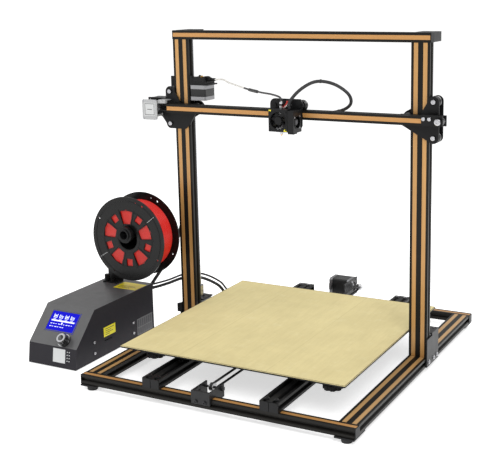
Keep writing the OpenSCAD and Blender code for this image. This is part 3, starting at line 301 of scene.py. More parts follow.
@dataclass(frozen=True)
class Finish:
    """One surface finish, made into a material when it is first asked for."""
    name: str
    colour: Colour
    rough: float = 0.5
    metal: float = 0.0
    coat: float = 0.0
    grain: Grain = Grain.POWDER
    bump: float = 0.1
    tone: float = 0.12
    spread: float = 0.08
    film: float = 0.04
    scuff: float = 0.0
    bare: Colour = (0.4, 0.4, 0.4)
    stretch: Point = (1.0, 1.0, 1.0)
    look: Look = Look.PLAIN
    axis: Point = (0.0, 0.0, 1.0)
    low: float = 0.0
    high: float = 1.0
    glow: float = 0.0
    shine: float = 0.5

    def material(self) -> bpy.types.Material:
        """Builds the material, or returns the one already built.

        Returns:
            The material of this finish.
        """
        found = bpy.data.materials.get(self.name)
        if found is not None and "finish" in found:
            return found
        mat = bpy.data.materials.new(self.name)
        mat["finish"] = True
        mat.use_nodes = True
        mat.diffuse_color = (*self.colour, 1.0)
        mat.node_tree.nodes.clear()
        g = Graph(mat.node_tree)
        shader = g.add("ShaderNodeBsdfPrincipled")
        g.add("ShaderNodeOutputMaterial", {"Surface": shader.outputs[0]})
        colour, height, extra = self._pattern(g)
        toned = g.group(Effects.tone(), {"Colour": colour, "Scale": 22.0, "Amount": self.tone})
        marked = g.group(Effects.scuffs(), {"Colour": toned.outputs["Colour"], "Bare": (*self.bare, 1.0),
                                                 "Amount": self.scuff})
        dusted = g.group(Effects.dust(), {"Colour": marked.outputs["Colour"], "Amount": self.film})
        fine = g.group(Effects.grain(), {"Scale": self.grain.value, "Roughness": self.rough,
                                              "Spread": self.spread, "Stretch": self.stretch})
        g.tree.links.new(dusted.outputs["Colour"], shader.inputs["Base Color"])
        rough = fine.outputs["Roughness"]
        if "rough" in extra:
            rough = g.math("ADD", rough, extra["rough"])
        g.tree.links.new(rough, shader.inputs["Roughness"])
        metal = extra.get("metal", self.metal)
        if isinstance(metal, bpy.types.NodeSocket):
            g.tree.links.new(metal, shader.inputs["Metallic"])
        else:
            shader.inputs["Metallic"].default_value = metal
        shader.inputs["Coat Weight"].default_value = self.coat
        shader.inputs["Coat Roughness"].default_value = 0.15
        shader.inputs["Specular IOR Level"].default_value = self.shine
        first = g.add("ShaderNodeBump", {"Height": fine.outputs["Height"], "Strength": self.bump, "Distance": 0.0002})
        last = first
        if height is not None:
            last = g.add("ShaderNodeBump", {"Height": height, "Strength": extra.get("lift", 0.5),
                                            "Distance": extra.get("depth", 0.0004), "Normal": first.outputs[0]})
        g.tree.links.new(last.outputs[0], shader.inputs["Normal"])
        if self.glow:
            g.tree.links.new(dusted.outputs["Colour"], shader.inputs["Emission Color"])
            shader.inputs["Emission Strength"].default_value = self.glow
        return mat

    def _pattern(self, g: Graph) -> tuple[bpy.types.NodeSocket, bpy.types.NodeSocket | None, dict]:
        """Makes the colour and relief that belong to this finish alone.

        Args:
            g: the material's graph.

        Returns:
            The colour, a height or None, and extra values.
        """
        base = g.add("ShaderNodeRGB")
        base.outputs[0].default_value = (*self.colour, 1.0)
        colour = base.outputs[0]
        place = g.add("ShaderNodeTexCoord").outputs["Object"]
        if self.look is Look.TURNED:
            rings = g.add("ShaderNodeTexWave", {"Vector": place, "Scale": 900.0, "Distortion": 2.0, "Detail": 2.0},
                          wave_type="BANDS", bands_direction="DIAGONAL").outputs["Fac"]
            return colour, rings, {"lift": 0.12, "depth": 0.0001}
        if self.look is Look.BRAID:
            weave = g.add("ShaderNodeTexWave", {"Vector": place, "Scale": 190.0, "Distortion": 0.4},
                          wave_type="BANDS", bands_direction="DIAGONAL").outputs["Fac"]
            other = g.add("ShaderNodeMapping", {"Vector": place, "Rotation": (0.0, 0.0, 1.57)}).outputs[0]
            cross = g.add("ShaderNodeTexWave", {"Vector": other, "Scale": 190.0, "Distortion": 0.4},
                          wave_type="BANDS", bands_direction="DIAGONAL").outputs["Fac"]
            both = g.math("MULTIPLY", weave, cross)
            return g.mix(g.math("MULTIPLY", both, 0.5), colour, (0.06, 0.06, 0.065)), both, {"lift": 0.6,
                                                                                             "depth": 0.0005}
        if self.look is Look.TAPE:
            return self._tape(g, colour, place)
        if self.look is Look.LAMINATED:
            mask = g.group(Effects.band(), {"Along": self.axis, "Low": self.low, "High": self.high}).outputs["Mask"]
            stacked = g.add("ShaderNodeVectorMath", {0: place, 1: self.axis}, operation="DOT_PRODUCT").outputs["Value"]
            sheets = g.add("ShaderNodeTexWave", {"Vector": g.add("ShaderNodeCombineXYZ", {0: stacked}).outputs[0],
                                                 "Scale": 220.0}, wave_type="BANDS").outputs["Fac"]
            metal = g.math("SUBTRACT", 0.95, g.math("MULTIPLY", mask, 0.75))
            return (g.mix(mask, self.bare, colour), g.math("MULTIPLY", sheets, mask),
                    {"metal": metal, "lift": 0.5, "depth": 0.0004})
        if self.look is Look.WOUND:
            centre = g.add("ShaderNodeVectorMath", {0: place, 1: self.axis}, operation="SUBTRACT").outputs[0]
            flat = g.add("ShaderNodeVectorMath", {0: centre, 1: (1.0, 0.0, 1.0)}, operation="MULTIPLY").outputs[0]
            away = g.add("ShaderNodeVectorMath", {0: flat}, operation="LENGTH").outputs["Value"]
            turn = g.add("ShaderNodeTexWave", {"Vector": g.add("ShaderNodeCombineXYZ", {0: away}).outputs[0],
                                               "Scale": 180.0,
                                               "Distortion": 0.6, "Detail": 2.0}, wave_type="BANDS").outputs["Fac"]
            # Painted shade: the grooves between wound turns are darkened towards a third of the red.
            dark = g.mix(g.ramp(turn, 0.0, 0.5, 0.55, 0.0), colour, tuple(c * 0.35 for c in self.colour))
            return dark, turn, {"lift": 0.8, "depth": 0.0008}
        if self.look is Look.SCREEN:
            rows = g.add("ShaderNodeTexWave", {"Vector": place, "Scale": 500.0}, wave_type="BANDS",
                         bands_direction="Z").outputs["Fac"]
            return g.mix(g.math("MULTIPLY", rows, 0.12), colour, (0.05, 0.05, 0.9)), None, {}
        if self.look is Look.STRIP:
            streak = g.add("ShaderNodeVectorMath", {0: place, 1: self.stretch}, operation="MULTIPLY").outputs[0]
            lines = g.add("ShaderNodeTexNoise", {"Vector": streak, "Scale": 260.0, "Detail": 3.0}).outputs["Fac"]
            return g.mix(g.ramp(lines, 0.35, 0.75, 0.0, 0.3), colour,
                         tuple(min(1.0, c * 1.5) for c in self.colour)), lines, {
                "lift": 0.15, "depth": 0.0001}
        return colour, None, {}

    def _tape(self, g: Graph, colour: bpy.types.NodeSocket,
              place: bpy.types.NodeSocket) -> tuple[bpy.types.NodeSocket, bpy.types.NodeSocket, dict]:
        """Crinkled paper tape laid in wide strips with faint joints.

        Args:
            g: the material's graph.
            colour: the base colour.
            place: object coordinates.

        Returns:
            The colour, the crinkle height and extra values.
        """
        broad = g.add("ShaderNodeTexNoise", {"Vector": place, "Scale": 9.0, "Detail": 8.0,
                                             "Roughness": 0.62}).outputs["Fac"]
        shade = g.mix(g.ramp(broad, 0.36, 0.66, 0.0, 0.5), colour, (0.61, 0.52, 0.26))
        pale = g.add("ShaderNodeTexNoise", {"Vector": place, "Scale": 26.0, "Detail": 5.0,
                                            "Roughness": 0.7}).outputs["Fac"]
        shade = g.mix(g.ramp(pale, 0.52, 0.78, 0.0, 0.5), shade, (0.76, 0.68, 0.40))
        across = g.add("ShaderNodeSeparateXYZ", {0: place}).outputs["X"]
        cell = g.math("ABSOLUTE", g.math("SUBTRACT", g.math("FRACT", g.math("MULTIPLY", g.math("ADD", across, 1.03),
                                                                            5.0)), 0.5))
        joint = g.ramp(cell, 0.492, 0.4995)
        wobble = g.add("ShaderNodeMapping", {"Vector": place, "Scale": (160.0, 16.0, 20.0)}).outputs[0]
        crepe = g.add("ShaderNodeTexNoise", {"Vector": wobble, "Scale": 1.0, "Detail": 6.0,
                                             "Roughness": 0.65}).outputs["Fac"]
        small = g.add("ShaderNodeTexNoise", {"Vector": place, "Scale": 420.0, "Detail": 3.0}).outputs["Fac"]
        relief = g.math("ADD", g.math("MULTIPLY", crepe, 0.7), g.math("MULTIPLY", small, 0.3))
        relief = g.math("SUBTRACT", relief, g.math("MULTIPLY", joint, 0.6))
        shade = g.mix(g.ramp(crepe, 0.4, 0.65, 0.0, 0.22), shade, (0.56, 0.47, 0.23))
        return g.mix(g.math("MULTIPLY", joint, 0.3), shade, (0.5, 0.42, 0.2)), relief, {"lift": 0.45, "depth": 0.0006}


STRIP_ALONG_Z = (1.0, 1.0, 0.02)
BLACK_PROFILE = Finish("black_profile_anodised", (0.0075, 0.0065, 0.005), 0.36, 0.0, grain=Grain.ANODISED, bump=0.05,
                       film=0.004, scuff=0.1, bare=(0.12, 0.1, 0.08), shine=0.18)
RAIL_PROFILE = Finish("rail_anodised", (0.006, 0.006, 0.006), 0.38, 0.0, grain=Grain.ANODISED, bump=0.05, film=0.006,
                      shine=0.18)
GOLD_UPRIGHT = Finish("slot_cover_upright", (0.46, 0.245, 0.078), 0.4, 0.2, 0.2, Grain.ANODISED, 0.04, 0.06,
                      film=0.0, stretch=STRIP_ALONG_Z, look=Look.STRIP)
GOLD_CROSS = Finish("slot_cover_cross", (0.47, 0.232, 0.068), 0.4, 0.2, 0.2, Grain.ANODISED, 0.04, 0.06,
                    film=0.0, stretch=(0.02, 1.0, 1.0), look=Look.STRIP)
# Painted light: these covers all face up, so their gold is made paler than the forward-facing covers' to stand for lit
# tops.
GOLD_DEPTH_LIT = Finish("slot_cover_depth_lit", (0.50, 0.29, 0.11), 0.4, 0.2, 0.2, Grain.ANODISED, 0.04, 0.06,
                    film=0.0, stretch=(1.0, 0.02, 1.0), look=Look.STRIP)
BLACK_PLATE = Finish("black_plate_powder", (0.0075, 0.0075, 0.008), 0.44, 0.0, 0.05, Grain.POWDER, 0.16, film=0.006,
                     scuff=0.08, bare=(0.1, 0.1, 0.1), shine=0.16)
GREY_PLATE = Finish("bracket_powder", (0.014, 0.014, 0.015), 0.42, 0.0, 0.05, Grain.POWDER, 0.14, film=0.01, scuff=0.15,
                    bare=(0.2, 0.2, 0.2), shine=0.25)
# Painted light and shade: one powder coat, in a lit copy for the top and slope and a far darker shaded copy for the
# flanks and lower front.
BOX_TOP_LIT = Finish("box_top_powder_lit", (0.085, 0.085, 0.087), 0.4, 0.15, 0.15, Grain.POWDER, 0.12, 0.08, film=0.03,
                   scuff=0.04)
BOX_SIDE_SHADED = Finish("box_side_powder_shaded", (0.0125, 0.011, 0.0155), 0.5, 0.0, 0.02, Grain.POWDER, 0.12, 0.1, film=0.0,
                  shine=0.22)
BOX_STEEL = Finish("box_base_steel", (0.06, 0.06, 0.062), 0.42, 0.5, grain=Grain.POWDER, bump=0.1)
SCREEN_BLUE = Finish("screen_blue", (0.001, 0.001, 0.30), 0.4, grain=Grain.POLISHED, bump=0.01, tone=0.05, film=0.0,
                     look=Look.SCREEN, glow=0.9, shine=0.05)
SCREEN_WHITE = Finish("screen_white", (0.75, 0.8, 0.95), 0.3, grain=Grain.POLISHED, bump=0.01, tone=0.05, film=0.0,
                      glow=0.6)
BLACK_PLASTIC = Finish("moulded_black", (0.007, 0.007, 0.0075), 0.44, 0.0, 0.08, Grain.MOULDED, 0.12, film=0.006,
                       shine=0.18)
GLOSS_BLACK = Finish("gloss_black", (0.008, 0.008, 0.008), 0.16, 0.0, 0.6, Grain.POLISHED, 0.02, film=0.02)
SPOOL_BLACK = Finish("spool_styrene", (0.004, 0.004, 0.004), 0.28, 0.0, 0.15, Grain.MOULDED, 0.04, film=0.0, scuff=0.1,
                     bare=(0.1, 0.1, 0.1), shine=0.16)
FILAMENT = Finish("red_strand", (0.70, 0.014, 0.008), 0.36, 0.0, 0.2, Grain.POLISHED, 0.03, 0.14, film=0.0, shine=0.35)
# Its wound look carries painted shade in the grooves between turns.
FILAMENT_PACK = Finish("red_layers", (0.75, 0.02, 0.011), 0.36, 0.0, 0.25, Grain.POLISHED, 0.03, 0.2, film=0.0,
                       look=Look.WOUND, axis=tuple(row(-379, 310, 212)))
SWITCH_RED = Finish("switch_red", (0.5, 0.02, 0.015), 0.28, 0.0, 0.4, Grain.POLISHED, 0.03)
STEEL = Finish("bright_steel", (0.50, 0.50, 0.52), 0.26, 1.0, grain=Grain.ANODISED, bump=0.06, film=0.0,
               look=Look.TURNED)
DARK_STEEL = Finish("blackened_steel", (0.03, 0.03, 0.032), 0.32, 0.6, grain=Grain.ANODISED, bump=0.06, film=0.0)
CHROME = Finish("chrome_band", (0.30, 0.30, 0.31), 0.16, 1.0, grain=Grain.POLISHED, bump=0.02, film=0.0)
RUBBER = Finish("rubber_foot", (0.013, 0.013, 0.013), 0.74, grain=Grain.MOULDED, bump=0.3, film=0.08)
BELT = Finish("belt_rubber", (0.012, 0.012, 0.012), 0.6, grain=Grain.WOVEN, bump=0.25, film=0.03)
WHEEL = Finish("wheel_plastic", (0.010, 0.010, 0.010), 0.32, 0.0, 0.2, Grain.MOULDED, 0.06, film=0.0)
BED_PLATE = Finish("bed_plate_black", (0.008, 0.008, 0.007), 0.45, 0.0, grain=Grain.ANODISED, bump=0.06, film=0.0,
                   shine=0.3)
TAPE = Finish("masking_tape", (0.72, 0.62, 0.32), 0.7, grain=Grain.WOVEN, bump=0.12, tone=0.05, film=0.0,
              look=Look.TAPE,
              shine=0.25)
LABEL = Finish("plate_label", (0.40, 0.405, 0.41), 0.36, 0.1, 0.2, Grain.MOULDED, 0.05, 0.06, film=0.0)
PALE_PRINT = Finish("pale_print", (0.56, 0.57, 0.57), 0.5, grain=Grain.MOULDED, bump=0.05, tone=0.05, film=0.0)
DARK_PRINT = Finish("dark_print", (0.05, 0.05, 0.055), 0.5, grain=Grain.MOULDED, bump=0.05, tone=0.05, film=0.0)
YELLOW_PRINT = Finish("yellow_label", (0.86, 0.76, 0.02), 0.38, 0.0, 0.3, Grain.MOULDED, 0.06, 0.06, film=0.0)
RATING = Finish("rating_plate", (0.11, 0.11, 0.115), 0.45, grain=Grain.MOULDED, bump=0.05, tone=0.06, film=0.0)
BRASS = Finish("turned_brass", (0.72, 0.46, 0.14), 0.24, 1.0, grain=Grain.ANODISED, bump=0.05, film=0.0,
               look=Look.TURNED)
ALLOY = Finish("machined_alloy", (0.62, 0.62, 0.63), 0.3, 1.0, grain=Grain.ANODISED, bump=0.08, film=0.0,
               look=Look.TURNED)
SLEEVE = Finish("braided_sleeve", (0.010, 0.010, 0.011), 0.5, grain=Grain.WOVEN, bump=0.15, film=0.0, look=Look.BRAID)
CLEAR_TUBE = Finish("pale_tube", (0.62, 0.60, 0.56), 0.25, 0.0, 0.4, Grain.POLISHED, 0.02, 0.06, film=0.0)
DARK_TUBE = Finish("dark_tube", (0.02, 0.02, 0.021), 0.25, 0.0, 0.4, Grain.POLISHED, 0.02, 0.06, film=0.0)
WIRE_RED = Finish("wire_red", (0.55, 0.03, 0.02), 0.4, 0.0, 0.2, Grain.POLISHED, 0.03, 0.06, film=0.0)
WIRE_WHITE = Finish("wire_white", (0.72, 0.70, 0.66), 0.4, 0.0, 0.2, Grain.POLISHED, 0.03, 0.06, film=0.0)
CONNECTOR = Finish("connector_white", (0.66, 0.65, 0.60), 0.42, 0.0, 0.1, Grain.MOULDED, 0.05, 0.06, film=0.0)
TIE_BLACK = Finish("tie_black", (0.02, 0.02, 0.02), 0.4, 0.0, 0.2, Grain.MOULDED, 0.06, film=0.0)


def motor_finish(name: str, axis: Point, low: Point, high: Point) -> Finish:
    """A stepper's finish: silver end caps and a black laminated middle.

    Args:
        name: the material's name.
        axis: the motor's direction.
        low: machine point on the lower end of the middle.
        high: machine point on its upper end.

    Returns:
        The finish.
    """
    ends = sorted(row(*p).dot(Vector(axis)) for p in (low, high))
    return Finish(name, (0.007, 0.007, 0.0075), 0.36, 0.0, 0.05, Grain.ANODISED, 0.08, 0.08, film=0.02,
                  bare=(0.30, 0.30, 0.31), look=Look.LAMINATED, axis=axis, low=ends[0], high=ends[1])


MOTOR_GANTRY = motor_finish("motor_gantry", (0.0, 1.0, 0.0), (0, 387.5, 0), (0, 403.5, 0))
MOTOR_EXTRUDER = motor_finish("motor_extruder", (0.0, 0.0, 1.0), (0, 0, 532.5), (0, 0, 549.5))
MOTOR_LIFT = motor_finish("motor_lift", (0.0, 0.0, 1.0), (0, 0, 12.5), (0, 0, 35.5))
MOTOR_BED = motor_finish("motor_bed", (1.0, 0.0, 0.0), (-78.5, 0, 0), (-37.5, 0, 0))


class Shape:
    """A mesh under construction, in machine millimetres, with a turn for sloping parts."""

    def __init__(self, turn: Matrix | None = None) -> None:
        """Starts empty, with an optional placing matrix."""
        self.bm = bmesh.new()
        self.turn = turn or Matrix.Identity(4)

    def solid(self, points: list[Vector], faces: list[list[int]]) -> "Shape":
        """Adds vertices and faces.

        Args:
            points: corners in millimetres.
            faces: corner numbers of each face.

        Returns:
            This shape.
        """
        made = [self.bm.verts.new(row(*(self.turn @ Vector(p)))) for p in points]
        for face in faces:
            self.bm.faces.new([made[k] for k in face])
        return self

    def box(self, x0: float, x1: float, y0: float, y1: float, z0: float, z1: float) -> "Shape":
        """Adds a block between two corners."""
        return self.prism([(x0, y0), (x1, y0), (x1, y1), (x0, y1)], 2, z0, z1)

    def prism(self, outline: list[tuple[float, float]], axis: int, low: float, high: float) -> "Shape":
        """Adds an outline pushed along one axis.

        Args:
            outline: points in the plane of the other two axes, in order.
            axis: 0, 1 or 2.
            low: start along the axis.
            high: end along the axis.

        Returns:
            This shape.
        """
        others = [k for k in range(3) if k != axis]
        n = len(outline)
        points = []
        for reach in (low, high):
            for u, v in outline:
                p = [0.0, 0.0, 0.0]
                p[others[0]], p[others[1]], p[axis] = u, v, reach
                points.append(Vector(p))
        faces = [list(range(n))[::-1], list(range(n, 2 * n))]
        faces += [[k, (k + 1) % n, n + (k + 1) % n, n + k] for k in range(n)]
        return self.solid(points, faces)

    def lathe(self, base: Point, axis: Point, profile: list[tuple[float, float]], n: int = 24) -> "Shape":
        """Adds a turned solid.

        Args:
            base: where the axis starts.
            axis: its direction.
            profile: radius and distance along the axis, from the start to the end.
            n: corners around.

        Returns:
            This shape.
        """
        return self._stack(self._circles(base, axis, profile, n), n)

    @staticmethod
    def _circles(base: Point, axis: Point, rings: list[tuple[float, float]], n: int) -> list[Vector]:
        """Sets rings of points round an axis.

        Args:
            base: where the axis starts.
            axis: its direction.
            rings: radius and distance along the axis of each ring.
            n: points in a ring.

        Returns:
            The points, ring after ring.
        """
        lift = Vector(axis).normalized()
        side = lift.orthogonal().normalized()
        other = lift.cross(side)
        turns = [2 * math.pi * k / n for k in range(n)]
        return [Vector(base) + lift * along + (side * math.cos(a) + other * math.sin(a)) * radius
                for radius, along in rings for a in turns]

    def _stack(self, points: list[Vector], n: int) -> "Shape":
        """Skins rings of points from the first to the last and closes both ends.

        Args:
            points: the points, ring after ring.
            n: points in a ring.

        Returns:
            This shape.
        """
        faces = []
        for start in range(0, len(points) - n, n):
            for k in range(n):
                a, b = start + k, start + (k + 1) % n
                faces.append([a, b, b + n, a + n])
        faces += [list(range(n))[::-1], list(range(len(points) - n, len(points)))]
        return self.solid(points, faces)

    def ring(self, base: Point, axis: Point, inner: float, outer: float, thick: float, n: int = 32) -> "Shape":
        """Adds a flat ring with a hole.

        Args:
            base: middle of its first face.
            axis: direction that its thickness follows.
            inner: radius of the hole.
            outer: radius of the edge.
            thick: its thickness.
            n: corners around.

        Returns:
            This shape.
        """
        points = self._circles(base, axis, [(inner, 0.0), (outer, 0.0), (outer, thick), (inner, thick)], n)
        faces = []
        for level in range(4):
            for k in range(n):
                a, b = level * n + k, level * n + (k + 1) % n
                c, d = ((level + 1) % 4) * n + (k + 1) % n, ((level + 1) % 4) * n + k
                faces.append([a, b, c, d])
        return self.solid(points, faces)

    def tube(self, path: list[Vector], radius: float, n: int = 12) -> "Shape":
        """Adds a round rod along a path, with closed ends.

        Args:
            path: points of its centre line.
            radius: its radius.
            n: corners around.

        Returns:
            This shape.
        """
        points: list[Vector] = []
        normal = None
        for k, here in enumerate(path):
            ahead = (path[min(k + 1, len(path) - 1)] - path[max(k - 1, 0)]).normalized()
            square = ahead.orthogonal() if normal is None else normal - ahead * normal.dot(ahead)
            normal = square.normalized()
            other = ahead.cross(normal)
            for j in range(n):
                a = 2 * math.pi * j / n
                points.append(here + (normal * math.cos(a) + other * math.sin(a)) * radius)
        return self._stack(points, n)

    def make(self, name: str, finish: Finish, bevel: float = 0.0, smooth: bool = True) -> bpy.types.Object:
        """Turns the shape into an object.

        Args:
            name: the piece's name.
            finish: its finish.
            bevel: width of rounded edges in millimetres, or 0.
            smooth: whether faces blend below 35 degrees.

        Returns:
            The object.
        """
        bmesh.ops.recalc_face_normals(self.bm, faces=self.bm.faces)
        mesh = bpy.data.meshes.new(name)
        self.bm.to_mesh(mesh)
        self.bm.free()
        obj = bpy.data.objects.new(name, mesh)
        bpy.context.scene.collection.objects.link(obj)
        mesh.materials.append(finish.material())
        if smooth:
            for face in mesh.polygons:
                face.use_smooth = True
            mesh.set_sharp_from_angle(angle=SHARP_ANGLE)
        if bevel:
            mod = obj.modifiers.new("edges", "BEVEL")
            mod.width, mod.segments, mod.limit_method = bevel * MM, 2, "ANGLE"
        return obj


def place(obj: bpy.types.Object, body: str, slot: str) -> bpy.types.Object:
    """Lets a piece ride on a body and reports it.

    Args:
        obj: the finished piece.
        body: the body that it moves with.
        slot: not used.

    Returns:
        The piece.
    """
    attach(obj, body)
    LOG.info("%s on %s: %d faces", obj.name, body, len(obj.data.polygons))
    return obj


def dress(node: str, finish: Finish) -> bpy.types.Object:
    """Gives a carried-over solid its finish and reports it.

    Args:
        node: the solid's name.
        finish: its finish.

    Returns:
        The solid's object.
    """
    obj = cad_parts[node]
    material = finish.material()
    if not obj.material_slots:
        obj.data.materials.append(material)
    for slot in obj.material_slots:
        slot.material = material
    LOG.info("%s dressed in %s", node, finish.name)
    return obj


def dress_all(finishes: dict[str, Finish]) -> None:
    """Dresses several solids, each in its own finish."""
    for node, finish in finishes.items():
        dress(node, finish)


def second_finish(obj: bpy.types.Object, finish: Finish, chosen: Callable[[bpy.types.MeshPolygon], bool]) -> None:
    """Gives some faces of a solid a second finish.

    Args:
        obj: the dressed solid.
        finish: the second finish.
        chosen: tells whether a face takes it.
    """
    obj.data.materials.append(finish.material())
    second = len(obj.data.materials) - 1
    for face in obj.data.polygons:
        face.material_index = second if chosen(face) else 0


class Repeats:
    """Geometry node trees for what repeats or follows a path."""

    @classmethod
    def _open(cls, name: str, inputs: dict[str, tuple[str, object]]) -> tuple[Graph, bpy.types.Node, bpy.types.Node]:
        """Starts a tree with a geometry input and output and named sizes.

        Args:
            name: the tree's name.
            inputs: input name to kind and default.

        Returns:
            The graph, its input node and its output node.
        """
        tree = bpy.data.node_groups.new(name, "GeometryNodeTree")
        tree.interface.new_socket("Geometry", in_out="INPUT", socket_type="NodeSocketGeometry")
        for label, (kind, default) in inputs.items():
            socket = tree.interface.new_socket(label, in_out="INPUT", socket_type="NodeSocket" + kind)
            if default is not None:
                socket.default_value = default
        tree.interface.new_socket("Geometry", in_out="OUTPUT", socket_type="NodeSocketGeometry")
        graph = Graph(tree)
        return graph, graph.add("NodeGroupInput"), graph.add("NodeGroupOutput")

    @staticmethod
    def _close(g: Graph, i: bpy.types.Node, o: bpy.types.Node, geometry: bpy.types.NodeSocket) -> bpy.types.NodeTree:
        """Ends a tree in Realize Instances and Set Material.

        Args:
            g: the tree's graph.
            i: its input node.
            o: its output node.
            geometry: what the tree made.

        Returns:
            The finished tree.
        """
        real = g.add("GeometryNodeRealizeInstances", {"Geometry": geometry})
        done = g.add("GeometryNodeSetMaterial", {"Geometry": real.outputs[0], "Material": i.outputs["Material"]})
        g.tree.links.new(done.outputs[0], o.inputs["Geometry"])
        return g.tree

    @classmethod
    @cache
    def scatter(cls) -> bpy.types.NodeTree:
        """One item on each point, turned to the point's own direction.

        Returns:
            The geometry tree.
        """
        g, i, o = cls._open("scatter", {"Item": ("Object", None), "Size": ("Float", 1.0), "Material": ("Material",
                                                                                                       None)})
        info = g.add("GeometryNodeObjectInfo", {"Object": i.outputs["Item"], "As Instance": True})
        way = g.add("GeometryNodeInputNamedAttribute", {"Name": "way"}, data_type="FLOAT_VECTOR")
        turn = g.add("FunctionNodeAlignRotationToVector", {"Vector": way.outputs[0]}, axis="Z")
        put = g.add("GeometryNodeInstanceOnPoints", {"Points": i.outputs["Geometry"],
                                                     "Instance": info.outputs["Geometry"],
                                                     "Rotation": turn.outputs[0], "Scale": i.outputs["Size"]})
        return cls._close(g, i, o, put.outputs[0])

    @classmethod
    @cache
    def helix(cls) -> bpy.types.NodeTree:
        """A wire wound up an axis from the origin of each point.

        Returns:
            The geometry tree.
        """
        g, i, o = cls._open("helix", {"Radius": ("Float", 0.004), "Height": ("Float", 0.01), "Turns": ("Float", 5.0),
                                      "Wire": ("Float", 0.0005), "Steps": ("Int", 16), "Sides": ("Int", 6),
                                      "Material": ("Material", None)})
        coil = g.add("GeometryNodeCurveSpiral", {"Resolution": i.outputs["Steps"], "Rotations": i.outputs["Turns"],
                                                 "Start Radius": i.outputs["Radius"], "End Radius": i.outputs["Radius"],
                                                 "Height": i.outputs["Height"]})
        wire = g.add("GeometryNodeCurvePrimitiveCircle", {"Resolution": i.outputs["Sides"],
                                                          "Radius": i.outputs["Wire"]})
        swept = g.add("GeometryNodeCurveToMesh", {"Curve": coil.outputs[0], "Profile Curve": wire.outputs[0],
                                                  "Fill Caps": True})
        put = g.add("GeometryNodeInstanceOnPoints", {"Points": i.outputs["Geometry"], "Instance": swept.outputs[0]})
        return cls._close(g, i, o, put.outputs[0])

    @classmethod
    @cache
    def windings(cls) -> bpy.types.NodeTree:
        """Rings side by side along Y, as strand laid on a spool.

        Returns:
            The geometry tree.
        """
        g, i, o = cls._open("windings", {"Radius": ("Float", 0.085), "Pitch": ("Float", 0.0018), "Count": ("Int", 30),
                                         "Strand": ("Float", 0.0009), "Seed": ("Int", 4),
                                         "Material": ("Material", None)})
        gap = g.add("ShaderNodeCombineXYZ", {1: i.outputs["Pitch"]})
        line = g.add("GeometryNodeMeshLine", {"Count": i.outputs["Count"], "Offset": gap.outputs[0]}, mode="OFFSET")
        loop = g.add("GeometryNodeCurvePrimitiveCircle", {"Resolution": 72, "Radius": i.outputs["Radius"]})
        strand = g.add("GeometryNodeCurvePrimitiveCircle", {"Resolution": 6, "Radius": i.outputs["Strand"]})
        hoop = g.add("GeometryNodeCurveToMesh", {"Curve": loop.outputs[0], "Profile Curve": strand.outputs[0]})
        swell = g.add("FunctionNodeRandomValue", {"Seed": i.outputs["Seed"]}, data_type="FLOAT")
        swell_out = next(s for s in swell.outputs if s.enabled)
        for socket in [s for s in swell.inputs if s.enabled and s.name in ("Min", "Max")]:
            socket.default_value = 0.9975 if socket.name == "Min" else 1.0015
        scale = g.add("ShaderNodeCombineXYZ", {0: swell_out, 1: swell_out, 2: 1.0})
        put = g.add("GeometryNodeInstanceOnPoints", {"Points": line.outputs[0], "Instance": hoop.outputs[0],
                                                     "Rotation": (math.pi / 2, 0.0, 0.0), "Scale": scale.outputs[0]})
        each = g.add("GeometryNodeInstanceOnPoints", {"Points": i.outputs["Geometry"], "Instance": put.outputs[0]})
        return cls._close(g, i, o, each.outputs[0])


def bake(name: str, tree: bpy.types.NodeTree, values: dict[str, object], points: list[Vector],
         ways: list[Point] | None = None) -> bpy.types.Object:
    """Runs a geometry tree on points and keeps the result as a plain mesh.

    Args:
        name: the new piece's name.
        tree: the geometry tree.
        values: input name to value.
        points: machine points in millimetres.
        ways: a direction for each point, or None.

    Returns:
        The new piece.
    """
    mesh = bpy.data.meshes.new(name + "_seed")
    mesh.from_pydata([row(*p) for p in points], [], [])
    if ways is not None:
        attribute = mesh.attributes.new("way", "FLOAT_VECTOR", "POINT")
        attribute.data.foreach_set("vector", [c for way in ways for c in way])
    holder = bpy.data.objects.new(name + "_seed", mesh)
    bpy.context.scene.collection.objects.link(holder)
    mod = holder.modifiers.new("nodes", "NODES")
    mod.node_group = tree
    for item in tree.interface.items_tree:
        if item.item_type == "SOCKET" and item.in_out == "INPUT" and item.name in values:
            mod[item.identifier] = values[item.name]
    depsgraph = bpy.context.evaluated_depsgraph_get()
    result = bpy.data.meshes.new_from_object(holder.evaluated_get(depsgraph), preserve_all_data_layers=True,
                                             depsgraph=depsgraph)
    holder.modifiers.remove(mod)
    bpy.data.objects.remove(holder)
    obj = bpy.data.objects.new(name, result)
    bpy.context.scene.collection.objects.link(obj)
    result.name = name
    if "way" in result.attributes:
        result.attributes.remove(result.attributes["way"])
    return obj


